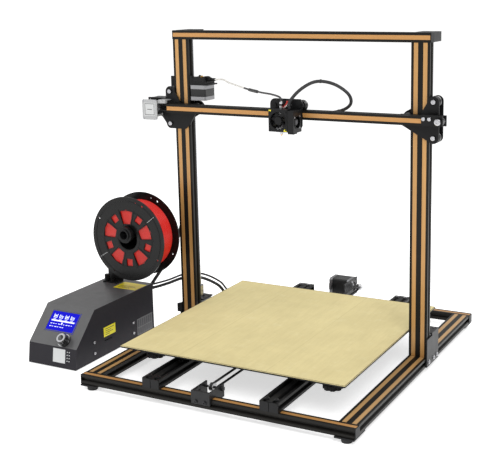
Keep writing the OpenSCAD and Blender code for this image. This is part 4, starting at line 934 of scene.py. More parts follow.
@dataclass
class Fasteners:
    """Socket-head and button-head screws, set by points and directions."""
    head: float = 3.0
    rise: float = 1.2

    def item(self) -> bpy.types.Object:
        """Makes one screw head with a hexagonal socket, its seat at the origin.

        Returns:
            The head, in metres.
        """
        bm = bmesh.new()
        n = 18

        def loop(radius: float, height: float, corners: int) -> list[bmesh.types.BMVert]:
            """Makes a ring of corners, sized as shares of the head and its rise."""
            size, turns = radius * MM * self.head, [2 * math.pi * k / corners for k in range(corners)]
            return [bm.verts.new((size * math.cos(a), size * math.sin(a), height * MM * self.rise)) for a in turns]

        loops = [loop(r, z, n) for r, z in ((1.0, 0.0), (1.0, 0.55), (0.9, 0.85), (0.74, 1.0))]
        for low, high in zip(loops, loops[1:]):
            for k in range(n):
                bm.faces.new([low[k], low[(k + 1) % n], high[(k + 1) % n], high[k]])
        bm.faces.new(loops[0][::-1])
        hexa = [loop(0.42, z, 6) for z in (1.0, 0.35)]
        top = loops[-1]
        for k in range(6):
            a, b = hexa[0][k], hexa[0][(k + 1) % 6]
            bm.faces.new([top[3 * k], top[3 * k + 1], top[3 * k + 2], top[(3 * k + 3) % n], b, a])
            bm.faces.new([a, b, hexa[1][(k + 1) % 6], hexa[1][k]])
        bm.faces.new(hexa[1])
        bmesh.ops.recalc_face_normals(bm, faces=bm.faces)
        mesh = bpy.data.meshes.new("screw_item")
        bm.to_mesh(mesh)
        bm.free()
        obj = bpy.data.objects.new("screw_item", mesh)
        bpy.context.scene.collection.objects.link(obj)
        return obj

    def set(self, name: str, body: str, spots: list[tuple[Point, Point]], finish: Finish = STEEL,
            slot: str = "steel") -> bpy.types.Object:
        """Sets screws on a body.

        Args:
            name: the piece's name.
            body: the body that carries them.
            spots: seat and direction of each screw.
            finish: their finish.
            slot: the record's slot.

        Returns:
            The piece.
        """
        item = self.item()
        obj = bake(name, Repeats.scatter(), {"Item": item, "Size": 1.0, "Material": finish.material()},
                   [Vector(p) for p, _ in spots], [d for _, d in spots])
        bpy.data.objects.remove(item)
        return place(obj, body, slot)


def coil(name: str, spots: list[Vector], radius: float, height: float, turns: float, wire: float,
         steps: int, sides: int = 8) -> bpy.types.Object:
    """Winds a steel wire upward from each spot.

    Args:
        name: the piece's name.
        spots: foot of each coil, in machine millimetres.
        radius: radius of the coil.
        height: its height.
        turns: its number of turns.
        wire: radius of the wire.
        steps: corners in a turn.
        sides: corners round the wire.

    Returns:
        The piece.
    """
    return bake(name, Repeats.helix(), {"Radius": radius * MM, "Height": height * MM, "Turns": turns, "Wire": wire * MM,
                                        "Steps": steps, "Sides": sides, "Material": STEEL.material()}, spots)


def bearing(body: str, x: float, y: float, z: float) -> None:
    """Adds both faces of a wheel's bearing.

    Args:
        body: the wheel.
        x: middle of the wheel.
        y: middle of the wheel along its axle.
        z: middle of the wheel.
    """
    caps = Shape()
    for start in (y - 5.2, y + 4.7):
        caps.ring((x, start, z), (0, 1, 0), 2.9, 6.4, 0.5, 24)
    place(caps.make(body + "_bearing", ALLOY), body, "alloy")


@dataclass
class Frame:
    """The profile frame: slot covers, feet, brackets and their screws."""
    half_width: float = 305.0
    depth: float = 700.0
    columns: tuple[float, float] = (275.0, 295.0)
    front: float = 380.0
    back: float = 400.0
    face: float = 4.45
    root: float = 3.2
    sunk: float = 0.12
    sheet: float = 1.2

    def _cover(self, shape: Shape, run: int, start: float, end: float, spot: tuple[float, float], out: int,
               sign: int) -> None:
        """Adds one slot cover.

        Args:
            shape: the shape that takes it.
            run: axis that the slot follows.
            start: start along it.
            end: end along it.
            spot: position of the slot's centre on the face, across and outward.
            out: axis that the face looks along.
            sign: 1 or -1 along that axis.
        """
        across, face = spot
        top, low = face - sign * self.sunk, face - sign * (self.sunk + self.sheet)
        outline = [(across - self.face, top), (across + self.face, top), (across + self.root, low),
                   (across - self.root, low)]
        others = [k for k in range(3) if k != run]
        if others[0] == out:
            outline = [(v, u) for u, v in outline]
        shape.prism(outline, run, start, end)

    def covers(self) -> None:
        """Builds the bright covers in the slots that look forward and up."""
        upright = Shape()
        for side in (-1, 1):
            for x in self.columns:
                self._cover(upright, 2, 0.2, 659.8, (side * x, self.front), 1, -1)
                self._cover(upright, 2, 0.2, 659.8, (side * x, self.back), 1, 1)
        place(upright.make("slot_covers_upright", GOLD_UPRIGHT), "frame", "black_profile")
        cross = Shape()
        self._cover(cross, 0, -304.6, 304.6, (670.0, self.front), 1, -1)
        self._cover(cross, 0, -304.6, 304.6, (670.0, self.back), 1, 1)
        for y in (10.0, self.depth - 10):
            self._cover(cross, 0, -304.6, 304.6, (y, 0.0), 2, 1)
        place(cross.make("slot_covers_cross", GOLD_CROSS), "frame", "black_profile")
        # The upward covers on the depth rails take the paler gold, painted light on their tops.
        deep = Shape()
        for side in (-1, 1):
            for x in self.columns:
                self._cover(deep, 1, 20.2, 379.8, (side * x, 0.0), 2, 1)
                self._cover(deep, 1, 400.2, self.depth - 20.2, (side * x, 0.0), 2, 1)
        place(deep.make("slot_covers_depth", GOLD_DEPTH_LIT), "frame", "black_profile")

    def screws(self) -> None:
        """Sets the plate and end screws that hold the frame together."""
        spots = []
        for side in (-1, 1):
            for y in (6.0, 14.0, self.depth - 14, self.depth - 6):
                spots.append(((side * 269.0, y, -23.0), (0, 0, -1)))
        for side in (-1, 1):
            spots += [((side * self.half_width, 10.0, -10.0), (side, 0, 0)),
                      ((side * self.half_width, self.depth - 10, -10.0), (side, 0, 0))]
        Fasteners(2.6, 1.2).set("frame_plate_screws", "frame", spots)

    def limit_switch(self) -> None:
        """Builds the lift's limit switch with its lever on the left upright."""
        body = Shape().box(-323, -308.2, 384.5, 391.0, 15, 35).box(-308.2, -305.1, 383.5, 397, 12, 38)
        place(body.make("limit_switch", BLACK_PLASTIC, 0.4), "frame", "black_plastic")
        lever = Shape().prism([(-321.5, 35.0), (-309.5, 38.6), (-309.5, 39.0), (-321.5, 35.4)], 1, 386, 389.5)
        place(lever.make("limit_switch_lever", STEEL), "frame", "steel")

    def dress(self) -> None:
        """Dresses the frame's solids."""
        dress_all({"base_beams": BLACK_PROFILE, "upright_frame": BLACK_PROFILE, "y_rails": RAIL_PROFILE,
                             "end_caps": BLACK_PLASTIC, "corner_plates": BLACK_PLATE, "rubber_feet": RUBBER,
                             "z_brackets": GREY_PLATE, "y_brackets": GREY_PLATE, "frame_screws": STEEL,
                             "left_lead_screw": STEEL, "right_lead_screw": STEEL})
        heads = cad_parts["frame_screws"]
        near = row(0, 40, 0).y
        second_finish(heads, DARK_STEEL, lambda face: face.center.y < near)
        motors = dress("frame_motors", MOTOR_LIFT)
        bed_side = row(0, self.depth, 0).y
        second_finish(motors, MOTOR_BED, lambda face: face.center.y > bed_side)

    def build(self) -> None:
        """Builds and dresses everything on the frame."""
        self.dress()
        self.covers()
        self.screws()
        self.limit_switch()


@dataclass
class LiftDrive:
    """The two lead screws with their rolled threads."""
    offset: float = 283.5
    depth: float = 424.0
    radius: float = 3.85
    lead: float = 4.0
    wire: float = 0.32
    foot: float = 76.0
    height: float = 600.0

    def build(self) -> None:
        """Winds the thread up each screw."""
        for side, body in ((-1, "left_screw"), (1, "right_screw")):
            thread = coil(f"{body}_thread", [Vector((side * self.offset, self.depth, self.foot))], self.radius,
                          self.height, self.height / self.lead, self.wire, 16, 4)
            place(thread, body, "steel")


@dataclass
class ControlBox:
    """The steel control box with its screen, dial, prints and vents."""
    left: float = -506.0
    right: float = -376.0
    slope: float = 46.1
    top: float = 84.5

    def on_slope(self) -> Matrix:
        """Gives the matrix from the front slope's plane to the machine."""
        return Matrix.Translation((self.left, 75.0, 15.0)) @ Matrix.Rotation(math.radians(self.slope), 4, "X")

    def screen(self) -> None:
        """Builds the bezel and the plain symbols of the screen."""
        x0, x1, s0, s1 = 24.6, 102.4, 33.1, 81.9
        bezel = Shape(self.on_slope())
        for a, b, c, d in ((x0, x1, s0, s0 + 1.8), (x0, x1, s1 - 1.8, s1), (x0, x0 + 1.8, s0 + 1.8, s1 - 1.8),
                           (x1 - 1.8, x1, s0 + 1.8, s1 - 1.8)):
            bezel.box(a, b, c, d, 0.55, 1.0)
        place(bezel.make("screen_bezel", GLOSS_BLACK), "frame", "black_plastic")
        marks = Shape(self.on_slope())
        marks.box(32, 95, 56.5, 59.4, 0.55, 0.78)
        for k in range(4):
            x = 34 + k * 15.5
            marks.box(x, x + 9.5, 64.5, 65.7, 0.55, 0.78)
            marks.box(x, x + 1.4, 65.7, 73.0, 0.55, 0.78)
            marks.box(x + 8.1, x + 9.5, 65.7, 73.0 - (k % 2) * 3, 0.55, 0.78)
            marks.box(x + 2.8, x + 6.7, 67.6 + (k % 2), 70.6, 0.55, 0.78)
            marks.box(x + 1, x + 8, 61.2, 62.2, 0.55, 0.78)
        for k in range(9):
            x = 33 + k * 7
            marks.box(x, x + 4.6 - (k % 3), 49.6, 51.0, 0.55, 0.78)
            if k < 6:
                marks.box(x, x + 5.4 - (k % 2) * 2, 43.0, 44.2, 0.55, 0.78)
        marks.lathe((63, 53.4, 0.55), (0, 0, 1), [(1.9, 0.0), (1.9, 0.22)], 16)
        place(marks.make("screen_symbols", SCREEN_WHITE, smooth=False), "frame", "display")

    def dial(self) -> None:
        """Adds the chrome rims of the dial."""
        turn = self.on_slope()
        band = Shape(turn)
        band.ring((90, 15, 3.6), (0, 0, 1), 13.2, 14.9, 0.5, 48)
        band.ring((90, 15, 16.6), (0, 0, 1), 6.5, 10.2, 0.5, 48)
        place(band.make("dial_rims", CHROME), "dial", "gloss_black")
        cap = Shape(turn).lathe((90, 15, 16.7), (0, 0, 1), [(6.2, 0.0), (6.0, 0.9), (4.0, 1.3), (0.5, 1.4)], 32)
        place(cap.make("dial_cap", GLOSS_BLACK), "dial", "gloss_black")

    def prints(self) -> None:
        """Adds plain labels in place of any printed wording."""
        def front(z: float) -> float:
            """Depth of the lower front panel at a height."""
            return 69.0 + 6.0 * (z + 30.0) / 45.0
        low, high = -19, 11
        panel = Shape().prism([(front(low) - 0.25, low), (front(low) + 0.6, low), (front(high) + 0.6, high),
                               (front(high) - 0.25, high)], 0, self.left + 67, self.left + 100)
        place(panel.make("front_label", PALE_PRINT, smooth=False), "frame", "label")
        dots = [((self.left + 105.5 + a * 5.4, front(z) + 0.02, z), (0, -0.991, 0.132))
                for a in range(2) for z in (-13, -6.5, 0, 6.5)]
        Fasteners(1.25, 0.35).set("front_dots", "frame", dots, PALE_PRINT, "label")
        Fasteners(3.15, 2.0).set("box_side_screws", "frame", [((self.right - 0.1, y, z), (1, 0, 0))
                                                              for y in (136, 280) for z in (-13.5, 11.5)])
        side = Shape().box(self.right - 0.05, self.right + 0.25, 170, 212, 12, 34)
        side.box(-442, -379, 296, 342, self.top - 0.05, self.top + 0.25)
        place(side.make("yellow_labels", YELLOW_PRINT, smooth=False), "frame", "label")
        plate = Shape().box(self.right - 0.05, self.right + 0.2, 294, 354, -25, 15)
        place(plate.make("side_rating_plate", RATING, smooth=False), "frame", "label")
        grid = Shape()
        for k in range(7):
            for z0, z1 in ((-22, -8.5), (-5.5, 11.5)):
                grid.box(self.right + 0.1, self.right + 0.32, 297 + k * 8.1, 302.4 + k * 8.1, z0, z1)
        for y0, y1, z0, z1 in ((176, 206, 28.6, 30.0), (176, 196, 24.2, 25.4), (176, 203, 20.0, 21.2),
                               (176, 190, 15.8, 17.0)):
            grid.box(self.right + 0.1, self.right + 0.34, y0, y1, z0, z1)
        for x1, y0, y1 in ((-402, 303, 305.4), (-388, 310, 311.4), (-394, 316, 317.4)):
            grid.box(-434, x1, y0, y1, self.top + 0.1, self.top + 0.34)
        place(grid.make("label_bars", DARK_PRINT, smooth=False), "frame", "label")

    def dress(self) -> None:
        """Dresses the box; its flanks and lower front are painted darker than its top and slope, painted shade and
        painted light on one coat.
        """
        cover = dress("box_cover", BOX_TOP_LIT)
        foot = row(0, 0, 14).z
        # Painted shade: faces looking sideways and the lower front take the darker copy of the coat.
        second_finish(cover, BOX_SIDE_SHADED, lambda face: abs(face.normal.x) > 0.7
                      or (face.normal.y < -0.9 and face.center.z < foot))
        dress_all({"box_base": BOX_STEEL, "display_module": SCREEN_BLUE, "power_inlet": BLACK_PLASTIC,
                             "power_rocker": SWITCH_RED, "encoder_knob": GLOSS_BLACK})

    def build(self) -> None:
        """Builds and dresses the box."""
        self.dress()
        self.screen()
        self.dial()
        self.prints()


@dataclass
class Spool:
    """The filament spool and its holder."""
    centre: Point = (-379.0, 310.0, 212.0)
    core: float = 80.0
    strand: float = 0.85
    pitch: float = 1.74
    turns: int = 33
    front: float = 278.0
    back: float = 342.0
    spokes: int = 10
    first_spoke: float = 38.0

    def build(self) -> None:
        """Winds the strand, adds the flange ribs and dresses the solids."""
        dress_all({"spool": SPOOL_BLACK, "filament_coil": FILAMENT_PACK, "spool_bracket": BLACK_PLATE})
        x, y, z = self.centre
        start = y - (self.turns - 1) * self.pitch / 2
        obj = bake("filament_turns", Repeats.windings(),
                   {"Radius": self.core * MM, "Pitch": self.pitch * MM, "Count": self.turns,
                    "Strand": self.strand * MM, "Seed": 4,
                    "Material": FILAMENT.material()}, [Vector((x, start, z))])
        for face in obj.data.polygons:
            face.use_smooth = True
        place(obj, "spool", "filament")
        ribs = Shape()
        for k in range(self.spokes):
            for face_y, out in ((self.front, -1), (self.back, 1)):
                a = math.radians(k * 360 / self.spokes + self.first_spoke)
                turn = Matrix.Translation((x, face_y, z)) @ Matrix.Rotation(-a, 4, "Y")
                ribs.turn = turn
                low, high = (-0.9, 0.1) if out < 0 else (-0.1, 0.9)
                ribs.prism([(29.0, -1.5), (70.0, -1.0), (70.0, 1.0), (29.0, 1.5)], 1, low, high)
        place(ribs.make("spool_ribs", SPOOL_BLACK), "spool", "spool_black")
        hubs = Shape()
        for hub_y in (self.front - 0.6, self.back - 0.3):
            hubs.ring((x, hub_y, z), (0, 1, 0), 27.6, 33.0, 0.9, 48)
        place(hubs.make("spool_hub_rings", SPOOL_BLACK), "spool", "spool_black")
        marks = Shape()
        for a in (self.first_spoke, 212.0):
            marks.turn = Matrix.Translation((x, self.front, z)) @ Matrix.Rotation(-math.radians(a), 4, "Y")
            marks.box(70, 94, -0.35, 0.05, -0.35, 0.35)
        place(marks.make("spool_scale_lines", PALE_PRINT, smooth=False), "spool", "label")


@dataclass
class Bed:
    """The taped bed on its carriage, with springs, knobs and belt."""
    half: float = 255.0
    centre_y: float = 325.0
    reach: float = 200.0
    side: float = 205.0

    def springs(self) -> None:
        """Winds a spring at each levelling point."""
        spots = [Vector((s * self.side, self.centre_y + t * self.reach, 26.4)) for s in (-1, 1) for t in (-1, 1)]
        place(coil("levelling_springs", spots, 5.2, 14.6, 6.0, 0.55, 20), "bed", "steel")

    def build(self) -> None:
        """Builds and dresses the bed and its drive."""
        dress_all({"bed_carriage": BLACK_PLATE, "heated_bed": BED_PLATE, "print_surface": TAPE,
                             "levelling_knobs": BLACK_PLASTIC, "bed_wheels": WHEEL, "y_belt": BELT,
                             "y_drive_pulley": ALLOY, "y_idler_pulley": ALLOY})
        self.springs()
        edge = Shape()
        y0, y1, h = self.centre_y - self.half, self.centre_y + self.half, self.half
        for a, b, c, d in ((-h, h, y0, y0 + 0.9), (-h, h, y1 - 0.9, y1), (-h, -h + 0.9, y0 + 0.9, y1 - 0.9),
                           (h - 0.9, h, y0 + 0.9, y1 - 0.9)):
            edge.box(a, b, c, d, 45.9, 46.12)
        place(edge.make("bed_rim", BED_PLATE, smooth=False), "bed", "bed_plate")
        heads = [((s * self.side, self.centre_y + t * self.reach, 45.85), (0, 0, 1)) for s in (-1, 1) for t in (-1, 1)]
        Fasteners(3.6, 0.35).set("bed_screws", "bed", heads, TAPE, "tape")
        lead = Shape().box(-24, 24, self.centre_y + 244, self.centre_y + 254, 38.6, 41.6)
        place(lead.make("bed_terminal_cover", BLACK_PLASTIC, 0.6), "bed", "black_plastic")


@dataclass
class Gantry:
    """The lifting bar with its plates, motor, belt and feeder."""
    height: float = 506.0
    bar_face: float = 355.5
    motor_x: float = -353.5
    idler_x: float = 332.7
    inner_axle: float = 255.15
    outer_axle: float = 314.85
    axle_rise: float = 36.5

    def cover(self) -> None:
        """Builds the bright cover along the bar's front slot."""
        strip = Shape()
        Frame()._cover(strip, 0, -311.8, 296.8, (self.height, self.bar_face), 1, -1)
        Frame()._cover(strip, 0, -311.8, 316.8, (self.height, 375.5), 1, 1)
        place(strip.make("slot_cover_bar", GOLD_CROSS), "gantry", "black_profile")

    def label(self) -> None:
        """Adds the plain panel on the motor's front plate."""
        z = self.height
        panel = Shape().box(-368.6, -338.6, 348.0, 348.4, z - 18, z + 12)
        place(panel.make("motor_panel", PALE_PRINT, smooth=False), "gantry", "label")
        frame_line = Shape()
        for x0, x1, z0, z1 in ((-366.6, -340.6, -16, -15), (-366.6, -340.6, 9, 10), (-366.6, -365.6, -15, 9),
                               (-341.6, -340.6, -15, 9),
                               (-360, -347, -4, -2.6)):
            frame_line.box(x0, x1, 347.8, 348.1, z + z0, z + z1)
        place(frame_line.make("motor_panel_lines", DARK_PRINT, smooth=False), "gantry", "label")

    def screws(self) -> None:
        """Sets the plate, motor and end screws."""
        z = self.height
        spots = [((x, 348.3, z + h), (0, -1, 0)) for x in (-370.6, -336.6) for h in (-24.0, 16.0)]
        spots += [((self.motor_x + dx, 375.5, z + dz), (0, -1, 0)) for dx in (-15.5, 15.5) for dz in (-15.5,
                                                                                                15.5) if dx > 0 or dz]
        spots += [((s * 270.0, 404.5, z + dz), (0, 1, 0)) for s in (-1, 1) for dz in (-12, 0)]
        Fasteners(2.2, 1.3).set("gantry_screws", "gantry", spots)
        ends = [((s * self.outer_axle, 372.3, z + dz), (0, -1, 0)) for s in (-1, 1) for dz in (-self.axle_rise,
                                                                                               self.axle_rise)]
        Fasteners(4.75, 0.9).set("lift_axle_heads", "gantry", ends)
        Fasteners(3.7, 0.7).set("bar_end_heads", "gantry", [((x, 350.1, z + 5), (0, -1, 0)) for x in (302.0, 314.5)])
        Fasteners(6.6, 1.4).set("idler_bolt_head", "gantry", [((self.idler_x, 347.0, z), (0, -1, 0))])

    def feeder(self) -> None:
        """Adds the feeder's spring and the socket of its motor cable."""
        spring = coil("feeder_spring", [Vector((-252.0, 394.0, 566.0))], 2.6, 4.5, 5.0, 0.4, 18)
        place(spring, "gantry", "steel")
        plug = Shape().box(-249.5, -235.5, 421.6, 426.0, 526.6, 531.4).box(-360.5, -346.5, 404, 408.5, 479.5, 481.4)
        place(plug.make("motor_plugs", CONNECTOR, 0.3), "gantry", "label")

    def build(self) -> None:
        """Builds and dresses the gantry."""
        dress_all({"x_bar": BLACK_PROFILE, "z_plates": BLACK_PLATE, "x_motor": MOTOR_GANTRY, "x_label_plate": LABEL,
                             "x_belt": BELT, "x_drive_pulley": ALLOY, "x_idler_pulley": ALLOY,
                             "extruder_bracket": BLACK_PLATE, "extruder_motor": MOTOR_EXTRUDER,
                             "extruder_body": BLACK_PLASTIC, "extruder_lever": BLACK_PLASTIC,
                             "drive_gear": BRASS})
        for name in ("z_wheel_lt", "z_wheel_lb", "z_wheel_li", "z_wheel_rt", "z_wheel_rb", "z_wheel_ri"):
            dress(name, WHEEL)
        self.cover()
        self.label()
        self.screws()
        self.feeder()
        axles = {f"z_wheel_{s}{k}": ((-1 if s == "l" else 1) * (self.inner_axle if k == "i" else self.outer_axle),
                                     390.0,
                                     self.height + self.axle_rise * {"t": 1, "b": -1, "i": 0}[k])
                 for s in "lr" for k in "tbi"}
        for name, (x, y, z) in axles.items():
            bearing(name, x, y, z)


@dataclass
class PrintHead:
    """The carriage with its fan cover, fans, heater and wires."""
    height: float = 506.0
    fan_x: float = -6.75
    hot_x: float = -10.0
    hot_y: float = 339.5
    blower_y: float = 332.0
    axle_rise: float = 19.85

    def cover(self) -> None:
        """Adds the rim, grille, marks and corner screws of the fan cover."""
        z = self.height
        rim = Shape().ring((self.fan_x, 315.4, z - 9), (0, 1, 0), 18.1, 19.6, 0.8, 48)
        for k in range(4):
            a = math.radians(45 + 90 * k)
            rim.tube([Vector((self.fan_x + math.cos(a) * r, 327.0, z - 9 + math.sin(a) * r)) for r in (8.5, 18.0)],
                     0.9, 8)
        place(rim.make("fan_rim", BLACK_PLASTIC, 0.0), "carriage", "black_plastic")
        hub = Shape().lathe((self.fan_x, 317.5, z - 9), (0, -1, 0), [(8.2, 0.0), (8.0, 0.5), (0.4, 0.55)], 32)
        place(hub.make("fan_hub_disc", BLACK_PLASTIC), "front_fan", "black_plastic")
        spots = [((x, 316.0, z + h), (0, -1, 0)) for x in (-25.2, 11.7) for h in (-27.6, 9.6)]
        Fasteners(1.9, 1.0).set("fan_cover_screws", "carriage", spots, BLACK_PLASTIC, "black_plastic")
        marks = Shape().box(-27.6, -22.6, 315.7, 316.1, z + 10.2, z + 13.6)
        marks.prism([(6.5, z - 31.0), (14.0, z - 31.0), (11.5, z - 25.0), (8.6, z - 26.8)], 1, 315.7, 316.1)
        place(marks.make("fan_cover_marks", YELLOW_PRINT, smooth=False), "carriage", "label")

    def blower(self) -> None:
        """Adds the inlet ring and hub of the side blower."""
        z = self.height - 12
        ring = Shape().ring((31.4, self.blower_y, z), (1, 0, 0), 12.7, 14.6, 0.8, 40)
        place(ring.make("blower_ring", BLACK_PLASTIC), "carriage", "black_plastic")
        Fasteners(1.7, 0.8).set("blower_screws", "carriage", [((31.5, self.blower_y + 16.2 * math.cos(a),
                                                                z + 16.2 * math.sin(a)), (1, 0, 0))
                                                               for a in (0.8, 2.4, 5.4)], STEEL)
        hub = Shape().lathe((29.2, self.blower_y, z), (1, 0, 0), [(5.6, 0.0), (5.4, 0.5), (0.4, 0.55)], 24)
        place(hub.make("blower_hub_disc", DARK_PRINT), "blower_fan", "black_plastic")

    def wires(self) -> None:
        """Runs the heater and probe wires into the hot end."""
        z = self.height
        for name, finish, side in (("heater_wires", WIRE_RED, 0.0), ("probe_wires", WIRE_WHITE, 2.6)):
            bundle = Shape()
            for k in range(3):
                x = 4.2 + side * 1.5 + k * 1.7
                bundle.tube(smooth_path([(x, 338.4 + k * 0.6, z + 31), (x - 1.5, 337.0 + k, z + 25),
                                         (x - 5.0 - k * 0.7, 336.4 + k * 1.1, z + 20.5),
                                         (-3.4 - side * 0.2 + k * 0.9, 337.2 + k * 1.2, z + 15.5)], 5), 0.85, 8)
            place(bundle.make(name, finish), "carriage", "sleeve")
        collar = Shape().ring((self.hot_x, self.hot_y, z + 20.5), (0, 0, 1), 4.3, 5.4, 3.4, 24)
        place(collar.make("tube_collar", BLACK_PLASTIC), "carriage", "black_plastic")

    def build(self) -> None:
        """Builds and dresses the print head."""
        dress_all({"carriage_plate": BLACK_PLATE, "hot_end": ALLOY, "fan_shroud": BLACK_PLASTIC,
                             "front_fan_rotor": BLACK_PLASTIC, "blower_housing": BLACK_PLASTIC,
                             "blower_rotor": BLACK_PLASTIC})
        tip = Shape().lathe((self.hot_x, self.hot_y, self.height - 44), (0, 0, 1),
                            [(1.05, 0.0), (2.65, 3.0), (2.65, 3.1)], 24)
        place(tip.make("nozzle_tip", BRASS), "carriage", "brass")
        for name, x, side in (("x_wheel_l", -31.0, 1), ("x_wheel_r", 28.0, 1), ("x_wheel_b", -1.5, -1)):
            dress(name, WHEEL)
            bearing(name, x, BAR_Y, self.height + side * self.axle_rise)
        self.cover()
        self.blower()
        self.wires()


def smooth_path(points: list[Point], steps: int = 8) -> list[Vector]:
    """Runs a smooth line through points.

    Args:
        points: machine points in millimetres.
        steps: parts between two points.

    Returns:
        The line's points.
    """
    p = [Vector(q) for q in points]
    p = [p[0] * 2 - p[1]] + p + [p[-1] * 2 - p[-2]]
    line = []
    for k in range(1, len(p) - 2):
        for j in range(steps):
            t = j / steps
            a, b, c, d = p[k - 1], p[k], p[k + 1], p[k + 2]
            bend, twist = 2 * a - 5 * b + 4 * c - d, 3 * b - a - 3 * c + d
            line.append(0.5 * (2 * b + (c - a) * t + bend * t * t + twist * t ** 3))
    return line + [p[-2]]


class Stiffness(Enum):
    """How easily a lead bends."""
    MEDIUM = "medium"
    STIFF = "stiff"


@dataclass
class Lead:
    """One cord between two bodies, with its ties."""
    node: str
    bodies: tuple[str, str]
    route: list[Point]
    radius: float
    finish: Finish
    slot: str
    start: Point
    end: Point
    stiffness: Stiffness = Stiffness.MEDIUM
    stands_for: bool = True
    ties: list[float] = field(default_factory=list)

    def bend(self, obj: bpy.types.Object) -> None:
        """Bakes a piece's placement into its mesh."""
        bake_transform(obj)

    def build(self) -> bpy.types.Object:
        """Returns:
            The cord.
        """
        path = smooth_path(self.route, 8)
        shape = Shape().tube(path, self.radius - CORD_INSET, 14)
        obj = shape.make(self.node + "_skin", self.finish)
        if self.stands_for:
            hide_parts(self.node)
        self.bend(obj)
        spots = []
        for part in self.ties:
            k = max(1, min(len(path) - 2, round(part * (len(path) - 1))))
            spots.append((path[k], (path[k + 1] - path[k - 1]).normalized()))
        if spots:
            bands = Shape()
            for here, way in spots:
                bands.ring(tuple(here - way * 1.3), tuple(way), self.radius - 0.3, self.radius + 0.55, 2.6, 20)
                side = way.orthogonal().normalized()
                bands.tube([here + side * self.radius * 0.9, here + side * (self.radius + 2.1)], 1.2, 6)
            tie = bands.make(self.node + "_ties", TIE_BLACK)
            self.bend(tie)
        return obj


@dataclass
class Wiring:
    """Every cord of the machine."""
    leads: list[Lead] = field(default_factory=lambda: [
        Lead("bowden_tube", ("gantry", "carriage"),
             [(-211, 392.5, 571), (-200, 392.3, 571.2), (-180, 388, 572), (-159, 380, 566), (-100, 362, 555),
              (-62, 350, 551),
              (-36, 344, 549), (-14, 340.6, 544), (-10, 339.5, 536.5), (-10, 339.5, 530.5)],
             2.0, CLEAR_TUBE, "tube", (-205, 392, 571), (-30, 343, 549), Stiffness.STIFF),
        Lead("hot_end_loom", ("carriage", "gantry"),
             [(10, 338, 518), (11, 338.6, 536), (34, 345, 562), (60, 365, 577), (100, 366, 573), (130, 374, 552),
              (128, 386, 528),
              (95, 388, 512), (30, 384, 507), (-60, 383, 506), (-150, 383, 505), (-225, 384, 505)],
             3.6, SLEEVE, "sleeve", (12, 340, 530), (12, 382, 530), Stiffness.MEDIUM, ties=[0.06, 0.3, 0.62]),
        Lead("gantry_loom", ("frame", "gantry"),
             [(-405, 362, 60), (-405, 372, 60), (-404, 388, 64), (-397, 404, 82), (-377, 420, 120), (-350, 434, 175),
              (-328, 446, 280), (-324, 446, 400), (-326, 440, 480), (-324, 426, 530), (-318, 416, 552)],
             4.2, SLEEVE, "sleeve", (-395, 400, 90), (-322, 426, 530), Stiffness.MEDIUM, ties=[0.2, 0.5]),
        Lead("bed_cable", ("frame", "bed"),
             [(-430, 362, 60), (-430, 372, 60), (-429, 394, 56), (-416, 420, 52), (-384, 436, 62), (-344, 448, 78),
              (-304, 462, 80), (-270, 484, 60), (-260, 512, 30), (-236, 546, 20), (-200, 556, 24), (-160, 552, 32),
              (-130, 546, 37.8)],
             3.6, SLEEVE, "sleeve", (-300, 462, 70), (-140, 548, 36), Stiffness.MEDIUM, ties=[0.25]),
        Lead("bed_sensor_cable", ("frame", "bed"),
             [(-430, 363.5, 61), (-429.5, 372, 62), (-426, 396, 62), (-412, 422, 62), (-382, 438, 71), (-342, 452, 87),
              (-300, 467, 88), (-266, 489, 67), (-256, 515, 37), (-233, 550, 27.5), (-199, 561, 30), (-162, 558, 35),
              (-136, 553, 37.6)],
             2.4, SLEEVE, "sleeve", (-300, 462, 70), (-140, 548, 36), Stiffness.MEDIUM, stands_for=False),
    ])

    def build(self) -> None:
        """Builds every cord, then the dark middle of the feed tube."""
        for lead in self.leads:
            lead.build()
        tube = self.leads[0]
        path = smooth_path(tube.route, 8)
        part = Shape().tube(path[30:66], tube.radius + 0.12, 14)
        obj = part.make("tube_sleeve", DARK_TUBE)
        tube.bend(obj)
        joiner = Shape().tube(path[32:38], tube.radius + 1.6, 10)
        clip = joiner.make("tube_clip", TIE_BLACK, 0.4)
        tube.bend(clip)


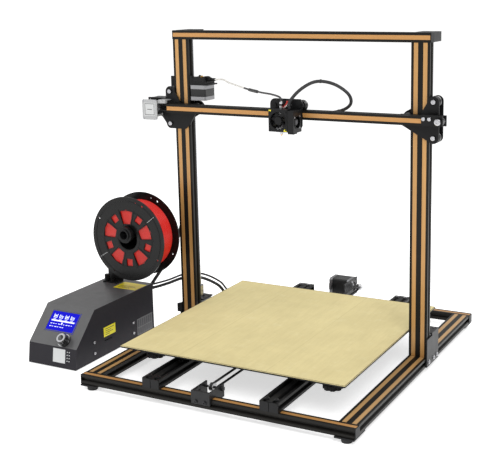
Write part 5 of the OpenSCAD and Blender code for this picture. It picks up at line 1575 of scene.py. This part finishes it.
@dataclass
class Studio:
    """Camera, lights and the pale floor."""
    eye: Point = (1.04544, -1.89837, 0.80483)
    turn: float = 26.682
    dip: float = 11.018
    roll: float = -0.750
    lens: float = 71.52
    shift: tuple[float, float] = (-0.10, -0.111)

    def camera(self) -> None:
        """Places the camera."""
        az, el, rl = (math.radians(v) for v in (self.turn, self.dip, self.roll))
        ahead = Vector((-math.sin(az) * math.cos(el), math.cos(az) * math.cos(el), -math.sin(el)))
        right = Vector((math.cos(az), math.sin(az), 0.0))
        up = right.cross(ahead)
        right2, up2 = right * math.cos(rl) + up * math.sin(rl), up * math.cos(rl) - right * math.sin(rl)
        data = bpy.data.cameras.new("camera")
        data.lens, data.sensor_width, data.sensor_fit = self.lens, 36.0, "HORIZONTAL"
        data.shift_x, data.shift_y = self.shift
        data.clip_start, data.clip_end = 0.01, 60.0
        obj = bpy.data.objects.new("camera", data)
        obj.matrix_world = Matrix.Translation(self.eye) @ Matrix((right2, up2, -ahead)).transposed().to_4x4()
        bpy.context.scene.collection.objects.link(obj)
        bpy.context.scene.camera = obj

    def light(self, name: str, spot: Point, target: Point, size: float, power: float) -> None:
        """Places one soft lamp.

        Args:
            name: the lamp's name.
            spot: where it stands, in metres.
            target: the point that it looks at.
            size: side of its square face.
            power: its power in watts.
        """
        data = bpy.data.lights.new(name, "AREA")
        data.shape, data.size, data.energy = "SQUARE", size, power
        obj = bpy.data.objects.new(name, data)
        way = Vector(target) - Vector(spot)
        obj.matrix_world = Matrix.Translation(spot) @ way.to_track_quat("-Z", "Y").to_matrix().to_4x4()
        bpy.context.scene.collection.objects.link(obj)

    def floor(self) -> None:
        """Lays the pale floor."""
        mesh = bpy.data.meshes.new("floor")
        r = 30.0
        mesh.from_pydata([(-r, -r, 0), (r, -r, 0), (r, r, 0), (-r, r, 0)], [], [(0, 1, 2, 3)])
        obj = bpy.data.objects.new("floor", mesh)
        bpy.context.scene.collection.objects.link(obj)
        mesh.materials.append(Finish("studio_floor", (0.93, 0.93, 0.93), 0.9, grain=Grain.POLISHED, bump=0.0, tone=0.0,
                                     film=0.0, glow=0.66).material())

    def world(self) -> None:
        """Makes the surroundings white, softer for light than for the eye."""
        world = bpy.data.worlds.new("studio")
        bpy.context.scene.world = world
        world.use_nodes = True
        world.node_tree.nodes.clear()
        g = Graph(world.node_tree)
        seen = g.add("ShaderNodeLightPath").outputs["Is Camera Ray"]
        level = g.math("ADD", g.math("MULTIPLY", seen, 0.6), 0.5)
        back = g.add("ShaderNodeBackground", {"Color": (1.0, 1.0, 1.0, 1.0), "Strength": level})
        g.add("ShaderNodeOutputWorld", {"Surface": back.outputs[0]})
        bpy.context.scene.view_settings.view_transform = "Standard"

    def build(self) -> None:
        """Sets up the whole studio."""
        self.camera()
        self.world()
        self.floor()
        self.light("key", (1.6, -1.9, 2.4), (0.0, 0.0, 0.2), 1.6, 40.0)
        self.light("fill", (-2.2, -1.5, 1.4), (-0.2, 0.0, 0.3), 1.8, 14.0)
        self.light("top", (0.0, 0.3, 2.6), (0.0, 0.0, 0.0), 2.2, 22.0)
        self.light("rear", (0.6, 2.4, 1.8), (0.0, 0.0, 0.3), 1.6, 16.0)


def main() -> None:
    """Builds the studio and then each sub-assembly, in order."""
    logging.basicConfig(level=logging.INFO, format="%(name)s: %(message)s")
    for part in (Studio(), Wiring(), Frame(), LiftDrive(), ControlBox(), Spool(), Bed(), Gantry(), PrintHead()):
        LOG.info("building %s", type(part).__name__)
        part.build()


if __name__ == "__main__":
    main()
